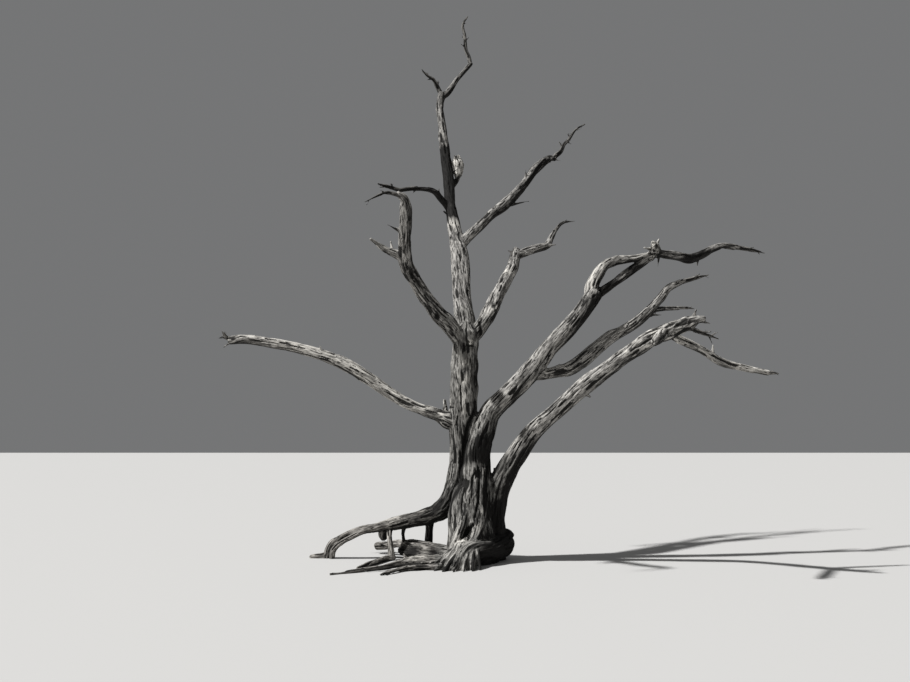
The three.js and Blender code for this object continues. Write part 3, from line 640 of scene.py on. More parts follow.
def rounded(line):
    """A line with a rounded end past its last sample."""
    last = line[-1]
    heading = last[:3] - line[-2, :3]
    heading /= np.linalg.norm(heading)
    end = [
        (*(last[:3] + heading * last[3] * END_LENGTH * step), last[3] * math.sqrt(1 - step**2))
        for step in END_STEPS
    ]
    return np.vstack([line, end])


def tubes(name, lines):
    """One mesh with a closed tube along each line."""
    bpy.ops.object.select_all(action="DESELECT")
    bpy.ops.curve.primitive_nurbs_path_add()
    made = bpy.context.object
    made.name = name
    made.data.splines.clear()
    made.data.bevel_depth = 1
    made.data.bevel_resolution = TUBE_BEVEL
    made.data.use_fill_caps = True
    for line in map(rounded, lines):
        spline = made.data.splines.new("POLY")
        spline.points.add(len(line) - 1)
        places = np.hstack([line[:, :3], np.ones((len(line), 1))])
        spline.points.foreach_set("co", places.ravel())
        spline.points.foreach_set("radius", line[:, 3])
    bpy.ops.object.convert(target="MESH")
    return made


NODE_ROUTES = {"trunk": TRUNK, **ROOTS, **{name: [route] for name, route in BOUGHS.items()}}
LIMB_ROUTES = [
    (name, route)
    for name, routes in NODE_ROUTES.items()
    for route in [*routes, *snags_on(name, routes[0])]
]
skin = tubes("skin", [line_of(route) for route in [*(route for _, route in LIMB_ROUTES), *RUN_ON]])
print("limbs and stubs:", len(LIMB_ROUTES), "faces in their tubes:", len(skin.data.polygons))

# %% [markdown]
# ## One skin of wood
# The tubes cross inside each other, and a boolean union of so many would leave every fork with a hard
# crease. The voxel Remesh modifier fills them all and wraps one even skin of small squares round the whole
# tree, and a few rounds of smoothing let the forks flow.

# %% The tubes melted into one skin
SKIN_VOXEL = 0.009  # metres
SMOOTHING, SMOOTHING_ROUNDS = 0.5, 5


def chosen(thing):
    """Selects one object alone, for the operators that follow."""
    bpy.ops.object.select_all(action="DESELECT")
    thing.select_set(True)
    bpy.context.view_layer.objects.active = thing


def modified(thing, kind, **settings):
    """Adds a modifier with its settings to an object and applies it."""
    chosen(thing)
    bpy.ops.object.modifier_add(type=kind)
    modifier = thing.modifiers[-1]
    for name, value in settings.items():
        setattr(modifier, name, value)
    bpy.ops.object.modifier_apply(modifier=modifier.name)


modified(skin, "REMESH", mode="VOXEL", voxel_size=SKIN_VOXEL)
modified(skin, "SMOOTH", factor=SMOOTHING, iterations=SMOOTHING_ROUNDS)
print("faces in the skin:", len(skin.data.polygons))

# %% [markdown]
# ## Grain that runs on
# The grain of wood runs along its limb, and on from a stump into the stem that it carries. One long route
# could do for both, but then they couldn't be two solids. So each limb keeps its line, its frames and the
# number of its grain, and one that goes on from another takes over its length and angle where the two lines
# meet, so that no seam shows.

# %% Limbs with their grain
# Which limb each of these goes on from: a node's name and the count of its route
GOES_ON = {
    "leader": ("trunk", 0), "middle_stem": ("trunk", 1), "right_stem": ("trunk", 2),
    "root_long": ("trunk", 3), "leader_top": ("leader", 0), "right_upper_tip": ("right_upper_bough", 0),
    "middle_loop": ("middle_stem", 0), "middle_tip": ("middle_loop", 0),
    "low_right_bough": ("right_stem", 0),
}
# The limbs whose broken ends show, said in the same way
SNAPPED = {
    ("front_stub", 0), ("right_stem", 0), ("root_second", 0), ("left_long_bough", 0), ("root_long", 4),
    ("middle_knob", 0), ("leader_burl", 0),
}


def limb_of(name, route, grain, before=None):
    """A limb with its line, frames and grain, which it takes over from the limb before it."""
    line = line_of(route)
    length, along, side, over = frames_of(line)
    turn = 0.0
    if before:
        gaps = np.linalg.norm(line[:, None, :3] - before["line"][None, :, :3], axis=2)
        here, there = np.unravel_index(gaps.argmin(), gaps.shape)
        met = before["side"][there]
        turn = before["turn"] - math.atan2(met @ over[here], met @ side[here])
        length = length - length[here] + before["length"][there]
        grain = before["grain"]
    return {
        "name": name, "line": line, "length": length, "along": along, "side": side, "over": over,
        "turn": turn, "grain": grain, "snapped": False,
    }


LIMBS = []
first_of = {}
for name, route in LIMB_ROUTES:
    count = sum(limb["name"] == name for limb in LIMBS)
    before = first_of.get(GOES_ON.get(name)) if count == 0 else None
    made = limb_of(name, route, len(LIMBS), before)
    made["snapped"] = (name, count) in SNAPPED
    first_of[name, count] = made
    LIMBS.append(made)
print("limbs that take over a grain:", sum(limb["grain"] != index for index, limb in enumerate(LIMBS)))

# %% [markdown]
# ## Wood coordinates
# To carry grain, each point of the skin needs to know its limb, how far along that limb it lies and at what
# angle round it. A UV map would need seams, and a cylinder projection works only on straight trunks. The
# nearest sample of the limb's line gives all three.

# %% Where each point lies on its limb
NEAR = 0.09  # metres beyond a limb's surface that its relief may reach
CHUNK = 20000  # points worked on at a time
END_FACE = 0.85  # share of the radius inside which a point past the end lies on the end's face


def between(values, low, high):
    """0 below the low value, 1 above the high one, and even in between."""
    return np.clip((values - low) / (high - low), 0, 1)


def in_box(points, line, wide):
    """Which points lie in a line's box, widened by so much on every side."""
    low, high = line[:, :3].min(0) - wide, line[:, :3].max(0) + wide
    return np.flatnonzero(((points > low) & (points < high)).all(1))


def on_limb(points, limb):
    """Where the points near a limb lie on it: their indices, gap to its surface, angle, length and more."""
    line = limb["line"]
    picked = in_box(points, line, line[:, 3].max() + NEAR)
    nearest = np.empty(len(picked), int)
    for start in range(0, len(picked), CHUNK):
        part = points[picked[start : start + CHUNK]]
        squares = (line[:, :3] ** 2).sum(1) - 2 * part @ line[:, :3].T
        nearest[start : start + CHUNK] = squares.argmin(1)
    away = points[picked] - line[nearest, :3]
    ahead = (away * limb["along"][nearest]).sum(1)
    past = np.where(nearest == len(line) - 1, np.maximum(ahead, 0), 0)
    short = np.where(nearest == 0, np.minimum(ahead, 0), 0)
    sideways = (away * limb["side"][nearest]).sum(1)
    overways = (away * limb["over"][nearest]).sum(1)
    out = np.hypot(sideways, overways)
    radius = line[nearest, 3]
    return {
        "picked": picked, "gap": np.hypot(out, past + short) - radius, "radius": radius,
        "angle": np.arctan2(overways, sideways) + limb["turn"],
        "along": limb["length"][nearest] + ahead,
        "end": limb["snapped"] * (past > 0) * between(END_FACE - out / radius, 0, END_FACE),
    }


def points_of(thing, what="co"):
    """The places of an object's points, or their normals."""
    values = np.empty(len(thing.data.vertices) * 3)
    thing.data.vertices.foreach_get(what, values)
    return values.reshape(-1, 3)


def nearest_of(points, places):
    """The gap from each point to its nearest limb, and which limb that is."""
    nearest_gap = np.full(len(points), np.inf)
    nearest_limb = np.zeros(len(points), int)
    for index, place in enumerate(places):
        picked, gap = place["picked"], place["gap"]
        closer = gap < nearest_gap[picked]
        nearest_gap[picked[closer]] = gap[closer]
        nearest_limb[picked[closer]] = index
    return nearest_gap, nearest_limb


depth = -on_limb(np.array([LEFT_STEM[2][:3]]), LIMBS[0])["gap"][0]
print("a station of the left stem lies this far inside, in metres:", round(float(depth), 3))

# %% [markdown]
# ## Noise that follows the grain
# A Displace modifier pushes along X, Y or Z of a noise texture, which can't follow a bent limb. Here the
# noise is a cube of random cells with eased steps between them, and it is read at the straightened
# coordinates of each limb, so that it can be drawn out along the grain round every bend.

# %% Noise at straightened coordinates
NOISE_SIDE, NOISE_SEED = 64, 11  # the noise repeats after this many cells
NOISE_CELLS = np.random.default_rng(NOISE_SEED).uniform(-1, 1, (NOISE_SIDE, NOISE_SIDE, NOISE_SIDE))


def noise(*coordinates):
    """Smooth noise from about -1 to 1, one cell for each whole number of the coordinates."""
    whole = [np.floor(values).astype(int) for values in coordinates]
    eased = []
    for values, floor in zip(coordinates, whole):
        part = values - floor
        eased.append(part**3 * (part * (part * 6 - 15) + 10))
    total = 0
    for corner in range(8):
        steps = [(corner >> axis) & 1 for axis in range(3)]
        cell = [(floor + step) % NOISE_SIDE for floor, step in zip(whole, steps)]
        share = [ease if step else 1 - ease for ease, step in zip(eased, steps)]
        total = total + NOISE_CELLS[tuple(cell)] * share[0] * share[1] * share[2]
    return total


print("noise cells:", NOISE_CELLS.size)

# %% [markdown]
# ## Knots
# Where a small branch died, the grain swirls round a low bump with a hole in its middle, painted dark as
# shade. Each could be placed by hand, but there are dozens and only a few can be told apart in the picture,
# so they stand at drawn places along every limb, and the few that can be are cut as holes later on.

# %% Knots
KNOT_SPACING, KNOT_SEED = 0.8, 100  # metres between two knots along a limb
KNOT_WIDTH, KNOT_HEIGHT, KNOT_HOLE = 0.045, 0.012, 0.024  # metres
KNOT_LEAST, KNOT_MOST = 0.4, 1.1  # shares of these sizes
KNOT_GIRTH = 0.09  # metres; on a thinner limb than this the knots are smaller too
# The dark in a knot's hole is painted shade
KNOT_STRETCH, HOLE_NARROWER, SHADE_NARROWER = 1.6, 2.4, 1.9  # times longer along it, narrower than the bump


def knots_on(limb, angle, along, radius):
    """Height of the swirls where small branches died, and the painted shade in their holes."""
    draws = np.random.default_rng(KNOT_SEED + limb["grain"])
    height, hollow_shade = np.zeros(len(along)), np.zeros(len(along))
    girth = min(1, limb["line"][:, 3].mean() / KNOT_GIRTH)
    for at in np.arange(limb["length"][0], limb["length"][-1], KNOT_SPACING):
        knot_along = at + draws.uniform(0, 1) * KNOT_SPACING
        knot_angle = draws.uniform(-math.pi, math.pi)
        size = draws.uniform(KNOT_LEAST, KNOT_MOST) * girth
        turn = (angle - knot_angle + math.pi) % (2 * math.pi) - math.pi
        away = np.hypot((along - knot_along) / KNOT_STRETCH, turn * radius) / (KNOT_WIDTH * size)
        hole = np.exp(-((away * HOLE_NARROWER) ** 2))
        height += size * (KNOT_HEIGHT * np.exp(-(away**2)) - KNOT_HOLE * hole)
        hollow_shade = np.maximum(hollow_shade, np.exp(-((away * SHADE_NARROWER) ** 2)))
    return height, hollow_shade


print("knots on a metre of limb:", round(1 / KNOT_SPACING, 2))

# %% [markdown]
# ## The relief of weathered wood
# Without bark, dry wood shrinks across its grain and cracks along it, so its surface has broad flutes, ropes
# of grain on them, and long lens-shaped drying cracks, and its snapped ends are splintered. One noise with
# many octaves would make them all alike. They differ in width, length and depth, so each has its own noise.

# %% Flutes, ropes and cracks
GRAIN_TWIST = 0.5  # radians of turn of the grain for each metre of limb
GRAIN_APART = 3.7  # cells from one limb's noise to the next one's
LUMP_LENGTH, LUMP_SHARE = 0.15, 0.06  # metres along the limb, and height as a share of its radius
FLUTES_ROUND, FLUTE_LENGTH, FLUTE_SHARE = 1.8, 0.6, 0.055  # cells in a radius, metres, share of the radius
ROPE_WIDTH, ROPE_STRETCH, ROPE_HEIGHT = 0.036, 10, 0.005  # metres across, times longer along it, metres
CRACK_WIDTH, CRACK_STRETCH = 0.022, 9
CRACK_FROM, CRACK_TO = 0.33, 0.52  # of the noise, where a crack begins and where it is deepest
CRACK_DEPTH, CRACK_SHARE = 0.008, 0.02  # metres, and a share of the radius on top
FINE_WIDTH, FINE_STRETCH, FINE_DEPTH = 0.021, 7, 0.004
FINE_APART = 9  # cells from the cracks' noise to the fine ones'
# Cracks, fine cracks and the valleys between ropes are painted dark, as the shade in them
FINE_SHADE, VALLEY_SHADE = 0.5, 0.35  # beside a crack's 1
VALLEY_FROM, VALLEY_TO = 0.15, 0.5  # of the ropes' noise, how far below its middle they are dark
SPLINTER_WIDTH, SPLINTER_SHARE = 0.02, 0.4  # metres, and height on a snapped end as a share of the radius


def relief_of(limb, angle, along, radius, end):
    """Height of the relief in metres on one limb, and how much painted shade darkens its hollows, from 0 to
    1.
    """
    turned = angle + GRAIN_TWIST * along
    apart = limb["grain"] * GRAIN_APART
    round_x, round_y = np.cos(turned), np.sin(turned)
    across, over = round_x * radius + apart, round_y * radius + 2 * apart
    lump = noise(across / LUMP_LENGTH, over / LUMP_LENGTH, along / LUMP_LENGTH)
    flute = noise(round_x * FLUTES_ROUND + apart, round_y * FLUTES_ROUND, along / FLUTE_LENGTH)
    rope = noise(across / ROPE_WIDTH, over / ROPE_WIDTH, along / (ROPE_WIDTH * ROPE_STRETCH))
    wave = noise(over / CRACK_WIDTH, across / CRACK_WIDTH, along / (CRACK_WIDTH * CRACK_STRETCH))
    crack = between(wave, CRACK_FROM, CRACK_TO)
    wave = noise(across / FINE_WIDTH + FINE_APART, over / FINE_WIDTH, along / (FINE_WIDTH * FINE_STRETCH))
    fine = between(wave, CRACK_FROM, CRACK_TO)
    height, hollow_shade = knots_on(limb, angle, along, radius)
    height += radius * (LUMP_SHARE * lump + FLUTE_SHARE * flute) + ROPE_HEIGHT * rope
    height -= crack * (CRACK_DEPTH + CRACK_SHARE * radius) + fine * FINE_DEPTH
    splinter = noise(across / SPLINTER_WIDTH, over / SPLINTER_WIDTH, np.full(len(along), apart))
    height += end * radius * SPLINTER_SHARE * splinter
    hollow_shade = np.maximum(hollow_shade, np.maximum(crack, FINE_SHADE * fine))
    return height, np.maximum(hollow_shade, VALLEY_SHADE * between(-rope, VALLEY_FROM, VALLEY_TO))


deepest = CRACK_DEPTH + CRACK_SHARE * max(station[3] for station in LEFT_STEM)
print("deepest crack on the left stem:", round(1000 * deepest, 1), "mm")

# %% [markdown]
# ## Relief where limbs meet
# At a fork the relief could change over from limb to limb at a line, but on the real tree the grain of one
# limb melts into the next. So limbs that are equally near to a point share it. Where the skin bridges the
# gap between two limbs it lies in a crevice, and painted shade makes that dark.

# %% Relief shared by limbs
SHARED_WIDTH = 0.035  # metres over which the relief passes from one limb to the next
# Where the skin bridges this far between two limbs, the crevice is painted dark, as shade
CREVICE_FROM, CREVICE_TO = 0.006, 0.018  # metres that the skin bridges where two limbs meet


def blended(limbs, places, nearest_gap):
    """Relief of every point and the painted shade in its hollows, each shared by the limbs that it lies on.
    """
    height, hollow_shade, shares = (np.zeros(len(nearest_gap)) for _ in range(3))
    for limb, place in zip(limbs, places):
        share = np.clip(1 - (place["gap"] - nearest_gap[place["picked"]]) / SHARED_WIDTH, 0, 1) ** 2
        kept = share > 0
        picked, share = place["picked"][kept], share[kept]
        high, deep = relief_of(limb, *(place[what][kept] for what in ("angle", "along", "radius", "end")))
        height[picked] += share * high
        hollow_shade[picked] += share * deep
        shares[picked] += share
    # Painted shade in the crevices between limbs
    crevice = between(nearest_gap, CREVICE_FROM, CREVICE_TO)
    return height / shares, np.maximum(hollow_shade / shares, crevice)


print("limbs share their relief over", 1000 * SHARED_WIDTH, "mm")

# %% [markdown]
# ## Creases and holes with a place of their own
# Noise makes cracks of the right kind, but some are features of this one tree: the deep creases where
# stems and boughs press against each other, the slits beside the ridges of the foot, and two knot holes.
# Each is a route along the surface, with its half width in place of a radius. They all lie on the front, and
# each is cut straight in from there: along the normals, one at a stem's edge would slide round behind it.
# Each crease and hole is also painted dark, as the shade that falls into it.

# %% Creases and holes
CREASE_DEPTH = 1.7  # of the half width
CREASE_FADE = 3  # half widths from its line, where a crease has died out
CREASE_REACH = 0.09  # metres front to back that don't count, so that a crease finds its surface
CREASES = [
    # Between the left and the middle stem
    [
        (-0.13, -0.08, 1.98, 0.02), (-0.15, -0.096, 1.853, 0.022), (-0.215, -0.115, 1.677, 0.024),
        (-0.239, -0.12, 1.549, 0.025), (-0.28, -0.13, 1.294, 0.025), (-0.304, -0.145, 1.136, 0.025),
        (-0.328, -0.158, 0.93, 0.028), (-0.383, -0.17, 0.821, 0.026), (-0.415, -0.185, 0.744, 0.022),
        (-0.434, -0.229, 0.654, 0.018), (-0.439, -0.312, 0.521, 0.012),
    ],
    # Between the middle and the right stem
    [
        (0.026, -0.167, 1.177, 0.014), (0.014, -0.212, 1.044, 0.022), (0.004, -0.27, 0.906, 0.025),
        (0.002, -0.301, 0.784, 0.024), (-0.007, -0.336, 0.677, 0.017), (-0.023, -0.365, 0.578, 0.01),
    ],
    # Beside the ridges of the middle stem
    [
        (-0.127, -0.245, 1.116, 0.008), (-0.162, -0.264, 1.047, 0.013), (-0.171, -0.301, 0.908, 0.015),
        (-0.181, -0.344, 0.794, 0.008),
    ],
    [
        (-0.082, -0.235, 1.13, 0.008), (-0.084, -0.277, 0.907, 0.015), (-0.101, -0.309, 0.753, 0.015),
        (-0.143, -0.419, 0.561, 0.01),
    ],
    [(-0.167, -0.449, 0.472, 0.02), (-0.227, -0.472, 0.397, 0.036), (-0.291, -0.487, 0.325, 0.016)],
    # Slits in the left stem, under the long bough's collar
    [(-0.349, -0.134, 1.79, 0.014), (-0.364, -0.128, 1.69, 0.012)],
    [(-0.493, 0.02, 1.922, 0.01), (-0.448, -0.058, 1.914, 0.014), (-0.397, -0.112, 1.907, 0.008)],
    # Between the leader and the right upper bough
    [
        (-0.092, -0.02, 3.07, 0.012), (-0.058, -0.03, 2.97, 0.02), (-0.05, -0.04, 2.87, 0.024),
        (-0.065, -0.05, 2.74, 0.02), (-0.07, -0.05, 2.62, 0.012),
    ],
    # Under the pale broken patch at the fork, its dark under-edge painted as shade
    [(-0.23, -0.07, 2.715, 0.01), (-0.19, -0.065, 2.7, 0.014), (-0.15, -0.06, 2.698, 0.012)],
    # Knot holes in the left upper bough
    [(-0.605, -0.175, 3.07, 0.03), (-0.605, -0.17, 3.05, 0.03)],
    [(-0.91, -0.65, 3.52, 0.026), (-0.9, -0.635, 3.49, 0.024)],
]


def creased(points):
    """How deep the creases cut at each point, in metres, and how much painted shade darkens them, from 0 to
    1.
    """
    depth, dark = np.zeros(len(points)), np.zeros(len(points))
    for route in CREASES:
        line = line_of(route)
        picked = in_box(points, line, CREASE_FADE * line[:, 3].max() + CREASE_REACH)
        away = np.abs(points[picked, None] - line[None, :, :3])
        away[..., 1] = np.maximum(away[..., 1] - CREASE_REACH, 0)
        gaps = np.linalg.norm(away, axis=2)
        nearest = gaps.argmin(1)
        width = line[nearest, 3]
        profile = np.exp(-((gaps.min(1) / width) ** 2))
        depth[picked] = np.maximum(depth[picked], CREASE_DEPTH * width * profile)
        dark[picked] = np.maximum(dark[picked], profile)
    return depth, dark


print("creases and holes:", len(CREASES))

# %% [markdown]
# ## Bleached wood, stains, painted light and painted shade
# Wood that faces the lamp is painted paler, as painted light, and wood that faces away from it is painted
# darker, as painted shade. The foot is darker, as darker wood and painted shade both, and the top of the
# crown is darker too. Single places differ from these: broken ones are pale, and dark ones are painted
# shadow and shade at the foot, on the lower stems, on the leader and under the second root, and darken the
# wood elsewhere. They could be painted by hand, but a list with the reach and the strength of each can be
# read and changed.

# %% What the weather did, and painted light and shade
PAINTED_LIGHT_FROM = np.array([-0.62, -0.3, 0.72])  # the side the lamp lights; wood facing it is painted paler, as painted light
# How much paler the lit side is painted, and how much darker the side away from the lamp, as painted shade
PAINTED_LIGHT_PALER, PAINTED_SHADE_DARKER = 0.2, 1.0
LIT_SIDE_LIMIT = 0.25  # of facing the lamp, past which the painted light takes no more stain away
PATCH_WIDTH, PATCH_HEIGHT = 0.3, 0.4  # metres, of soft patches that are cleaner or dirtier
PATCH_BLEACH, PATCH_STAIN = 0.2, 0.3
# The foot is painted darker, as darker wood and painted shade both
FOOT_STAIN_AND_SHADE, FOOT_DARK_TOP, FOOT_DARK_FADE = 0.42, 1.9, 1  # up to this height, and metres below it in which it fades
FOOT_NEAR, FOOT_FAR = 0.6, 0.95  # metres from the middle, between which the foot's darkening fades
# Darker towards the top of the crown
CROWN_DARKENING, CROWN_FROM, CROWN_TO = 0.5, 4.3, 4.9  # the heights in metres between which it comes in
# Each place is x, y, z and reach in metres, and strength
BLEACHED_PLACES = [
    (-0.215, -0.07, 2.745, 0.03, 1.5), (-0.18, -0.065, 2.742, 0.03, 1.5),
    (-0.145, -0.055, 2.746, 0.026, 1.4),
    (-0.257, -0.11, 2.45, 0.06, 0.6), (-0.264, -0.125, 2.26, 0.07, 0.7), (-0.283, -0.133, 2.04, 0.09, 0.5),
    (-0.27, -0.14, 1.86, 0.08, 0.5), (0.102, 0.208, 3.194, 0.13, 0.5), (0.371, 0.929, 3.825, 0.1, 0.6),
    (-0.356, 0.962, 4.515, 0.15, 0.4), (-0.03, -0.246, 1.13, 0.04, 0.5), (-0.039, -0.306, 0.889, 0.05, 0.5),
    (-0.053, -0.353, 0.65, 0.05, 0.5), (-0.12, -0.42, 0.42, 0.07, 0.45), (-0.32, -0.5, 0.28, 0.08, 0.4),
]
# Dark places: painted shadow and shade low on the middle and right stems, at the foot's right, on the leader
# by its burl and on the strand under the second root; the rest darken the wood, and those below 0 lighten it
STAIN_AND_SHADE_PLACES = [
    (-0.02, -0.18, 1.47, 0.17, 0.7), (-0.07, -0.2, 1.26, 0.14, 0.5), (-0.1, -0.2, 1.4, 0.13, 0.5),
    (-0.11, -0.03, 2.25, 0.12, 0.5),
    (0.166, -0.095, 0.32, 0.2, 0.8), (0.12, -0.14, 0.62, 0.15, 0.8), (0.0, -0.5, 0.15, 0.22, 0.7),
    (0.22, -0.05, 0.15, 0.28, 0.9), (-0.37, 0.0, 0.75, 0.1, 0.4), (0.28, -0.13, 1.15, 0.22, 0.8),
    (-0.9, 0.03, 0.05, 0.12, 1.2), (-1.05, 0.18, 0.08, 0.1, 1.2), (-0.65, -0.18, 0.04, 0.12, 1.2),
    (-0.43, 1.2, 4.75, 0.22, 1.8), (-0.46, 1.4, 5.08, 0.22, 1.8), (-0.53, 1.55, 5.4, 0.2, 1.8),
    (-0.55, 1.68, 5.68, 0.16, 1.6), (-0.31, 1.66, 5.55, 0.15, -2.5), (-0.33, 1.6, 5.35, 0.1, -1),
    (-0.6, 0.0, 0.62, 0.25, 0.6), (-0.95, 0.1, 0.46, 0.28, 0.6), (-1.3, 0.14, 0.38, 0.22, 0.4),
    (0.45, -0.2, 1.42, 0.2, 0.5), (-0.2, -0.24, 1.25, 0.12, 0.5),
    (-0.85, -0.3, 0.12, 0.2, -0.35), (-1.2, -0.6, 0.05, 0.3, -0.35),
    (1.38, 0.08, 3.25, 0.2, 1.3), (1.65, 0.2, 3.5, 0.2, 1.2), (2.0, 0.3, 3.77, 0.16, 1.2),
    (1.2, 0.02, 3.0, 0.2, 0.7), (2.75, 0.6, 3.95, 0.16, 0.9), (3.0, 0.76, 4.05, 0.2, 0.9),
]
# Whole limbs that are paler
PALE_BY_NODE = {
    "left_long_bough": 0.32, "middle_loop": 0.3, "middle_knob": 0.6, "leader_burl": 0.65,
    "left_upper_stub": 0.3, "low_right_bough": 0.45, "front_stub": 0.4,
    "right_stem": 0.05, "side_bough": 0.15,
}


def spots(points, places):
    """The sum of soft round spots at each point."""
    total = np.zeros(len(points))
    for *place, reach, strength in places:
        total += strength * np.exp(-((np.linalg.norm(points - place, axis=1) / reach) ** 2))
    return total


def weathered(points, normals, nearest_limb, limbs):
    """How far each point is bleached and painted light, and how far it is darkened by stains and painted
    shade, both from 0 to 1.
    """
    pale = np.array([PALE_BY_NODE.get(limb["name"], 0.0) for limb in limbs])[nearest_limb]
    x, y, z = points.T
    patch = noise(x / PATCH_WIDTH, y / PATCH_WIDTH, z / PATCH_HEIGHT)
    # Painted light on the side that faces the lamp, and painted shade on the side away from it
    facing_light = normals @ PAINTED_LIGHT_FROM
    bleach_and_light = pale + PATCH_BLEACH * patch + PAINTED_LIGHT_PALER * facing_light + spots(points, BLEACHED_PLACES)
    stain_and_shade = -PATCH_STAIN * patch - PAINTED_SHADE_DARKER * np.minimum(facing_light, LIT_SIDE_LIMIT) + spots(points, STAIN_AND_SHADE_PLACES)
    in_foot = between(-np.hypot(x, y), -FOOT_FAR, -FOOT_NEAR)
    stain_and_shade += FOOT_STAIN_AND_SHADE * between(FOOT_DARK_TOP - z, 0, FOOT_DARK_FADE) * in_foot
    stain_and_shade += CROWN_DARKENING * between(z, CROWN_FROM, CROWN_TO)
    return np.clip(bleach_and_light, 0, 1), np.clip(stain_and_shade, 0, 1)


print("bleached places:", len(BLEACHED_PLACES), "stained ones:", len(STAIN_AND_SHADE_PLACES))

# %% [markdown]
# ## Splintered places
# Where wood has split or broken, short splinters stand out of it, finer and rougher than the grain around
# them. They could be modelled one by one, but none is much wider than two pixels, so they are a noise that
# is let in at each place.

# %% Splinters
ROUGH_WIDTH, ROUGH_STRETCH, ROUGH_HEIGHT = 0.026, 3, 0.01  # metres, but for the stretch
# A pit is painted dark, as the shade in it
PIT_FROM, PIT_TO = 0.05, 0.3  # of the noise, how far below its middle a pit is dark
CREST_FROM, CREST_TO = 0.1, 0.8  # and how far above it a crest is pale
# Each place is x, y, z and reach in metres, and strength
ROUGH_PLACES = [
    (1.75, -0.75, 2.57, 0.2, 0.7), (2.0, -1.1, 2.73, 0.25, 1), (2.25, -1.35, 2.83, 0.16, 1),
    (-0.55, 0.03, 1.8, 0.18, 0.7), (-0.42, -0.03, 1.87, 0.12, 0.8), (-3.3, 0.3, 2.81, 0.16, 0.8),
    (1.05, 2.35, 5.86, 0.18, 0.8), (1.2, 2.44, 5.93, 0.12, 0.9), (-0.56, 1.8, 6.0, 0.2, 0.7),
    (-0.6, 1.93, 6.45, 0.2, 0.6), (-0.345, 1.7, 5.6, 0.14, 1), (2.28, 0.3, 4.0, 0.13, 1),
    (1.85, 0.26, 3.87, 0.25, 0.6), (-0.26, -0.12, 2.4, 0.1, 0.7), (-0.27, -0.13, 2.15, 0.12, 0.7),
    (0.12, 0.35, 3.25, 0.15, 0.8), (-0.3, -0.6, 0.22, 0.2, 0.4),
]


def roughened(points, grain):
    """Height in metres of the splintered places, the painted shade in their pits from 0 to 1, and their pale
    crests too.
    """
    rough = np.minimum(spots(points, ROUGH_PLACES), 1)
    across, over, along = grain.T / ROUGH_WIDTH
    grit = noise(across, over, along / ROUGH_STRETCH)
    pits, crests = between(-grit, PIT_FROM, PIT_TO), between(grit, CREST_FROM, CREST_TO)
    return rough * grit * ROUGH_HEIGHT, rough * pits, rough * crests


print("splintered places:", len(ROUGH_PLACES))

# %% [markdown]
# ## Carving the skin
# The relief goes into the skin along its normals, and the creases straight in. The materials could guess
# hollows from the finished shape, but what they need is known here, so it is kept on the points as
# attributes: the straightened coordinates for the fibres, the painted shade of the hollows, how far the wood
# is bleached and painted light, and how far it is darkened by stains and painted shade.

# %% Relief and attributes on the skin
def grain_of(limbs, places, nearest_limb):
    """Straightened coordinates of every point on its nearest limb."""
    grain = np.zeros((len(nearest_limb), 3))
    for index, (limb, place) in enumerate(zip(limbs, places)):
        own = nearest_limb[place["picked"]] == index
        along, radius = place["along"][own], place["radius"][own]
        turned = place["angle"][own] + GRAIN_TWIST * along
        straight = np.stack([np.cos(turned) * radius, np.sin(turned) * radius, along], 1)
        grain[place["picked"][own]] = straight + limb["grain"]
    return grain


def keep(thing, name, kind, values):
    """Keeps values on an object's points under a name."""
    attribute = thing.data.attributes.new(name, kind, "POINT")
    attribute.data.foreach_set("vector" if kind == "FLOAT_VECTOR" else "value", values.ravel())


def carve(thing, limbs):
    """Cuts the relief and the creases into a skin and keeps what the materials read."""
    points = points_of(thing)
    places = [on_limb(points, limb) for limb in limbs]
    nearest_gap, nearest_limb = nearest_of(points, places)
    height, hollow_shade = blended(limbs, places, nearest_gap)
    depth, dark = creased(points)
    grain = grain_of(limbs, places, nearest_limb)
    bumps, pits, crests = roughened(points, grain)
    moved = points + points_of(thing, "normal") * (height + bumps)[:, None]
    moved[:, 1] += depth
    thing.data.vertices.foreach_set("co", moved.ravel())
    thing.data.update()
    bleach_and_light, stain_and_shade = weathered(moved, points_of(thing, "normal"), nearest_limb, limbs)
    keep(thing, "grain", "FLOAT_VECTOR", grain)
    # The hollows carry painted shade, the bleaching painted light, and the stain painted shade as well
    keep(thing, "hollow_shade", "FLOAT", np.maximum(hollow_shade, np.maximum(dark, pits)))
    keep(thing, "bleached", "FLOAT", np.maximum(bleach_and_light, crests))
    keep(thing, "stained_and_shaded", "FLOAT", stain_and_shade)
    keep(thing, "limb", "FLOAT", nearest_limb.astype(float))
    return height


height = carve(skin, LIMBS)
print("relief in metres, lowest and highest:", round(float(height.min()), 4), round(float(height.max()), 4))

# %% [markdown]
# ## The twigs' own skins
# The last twigs are too thin for the squares of the tree's skin. Smaller squares all over would do, but
# there would be millions of them, so each mass gets a finer skin of its own. It starts inside its bough's
# end, and it is carved by the same relief.

# %% Twigs
TWIG_VOXEL = 0.0042  # metres
TWIG_SMOOTHING = 2

twig_pieces = {}
for name, mass in MASSES.items():
    routes = twig_routes(**mass)
    piece = tubes(name + "_wood", [line_of(route) for route in routes])
    modified(piece, "REMESH", mode="VOXEL", voxel_size=TWIG_VOXEL)
    modified(piece, "SMOOTH", factor=SMOOTHING, iterations=TWIG_SMOOTHING)
    carve(piece, [limb_of(name, route, len(LIMBS) + count) for count, route in enumerate(routes)])
    twig_pieces[name] = piece
print("faces in the twigs:", sum(len(piece.data.polygons) for piece in twig_pieces.values()))

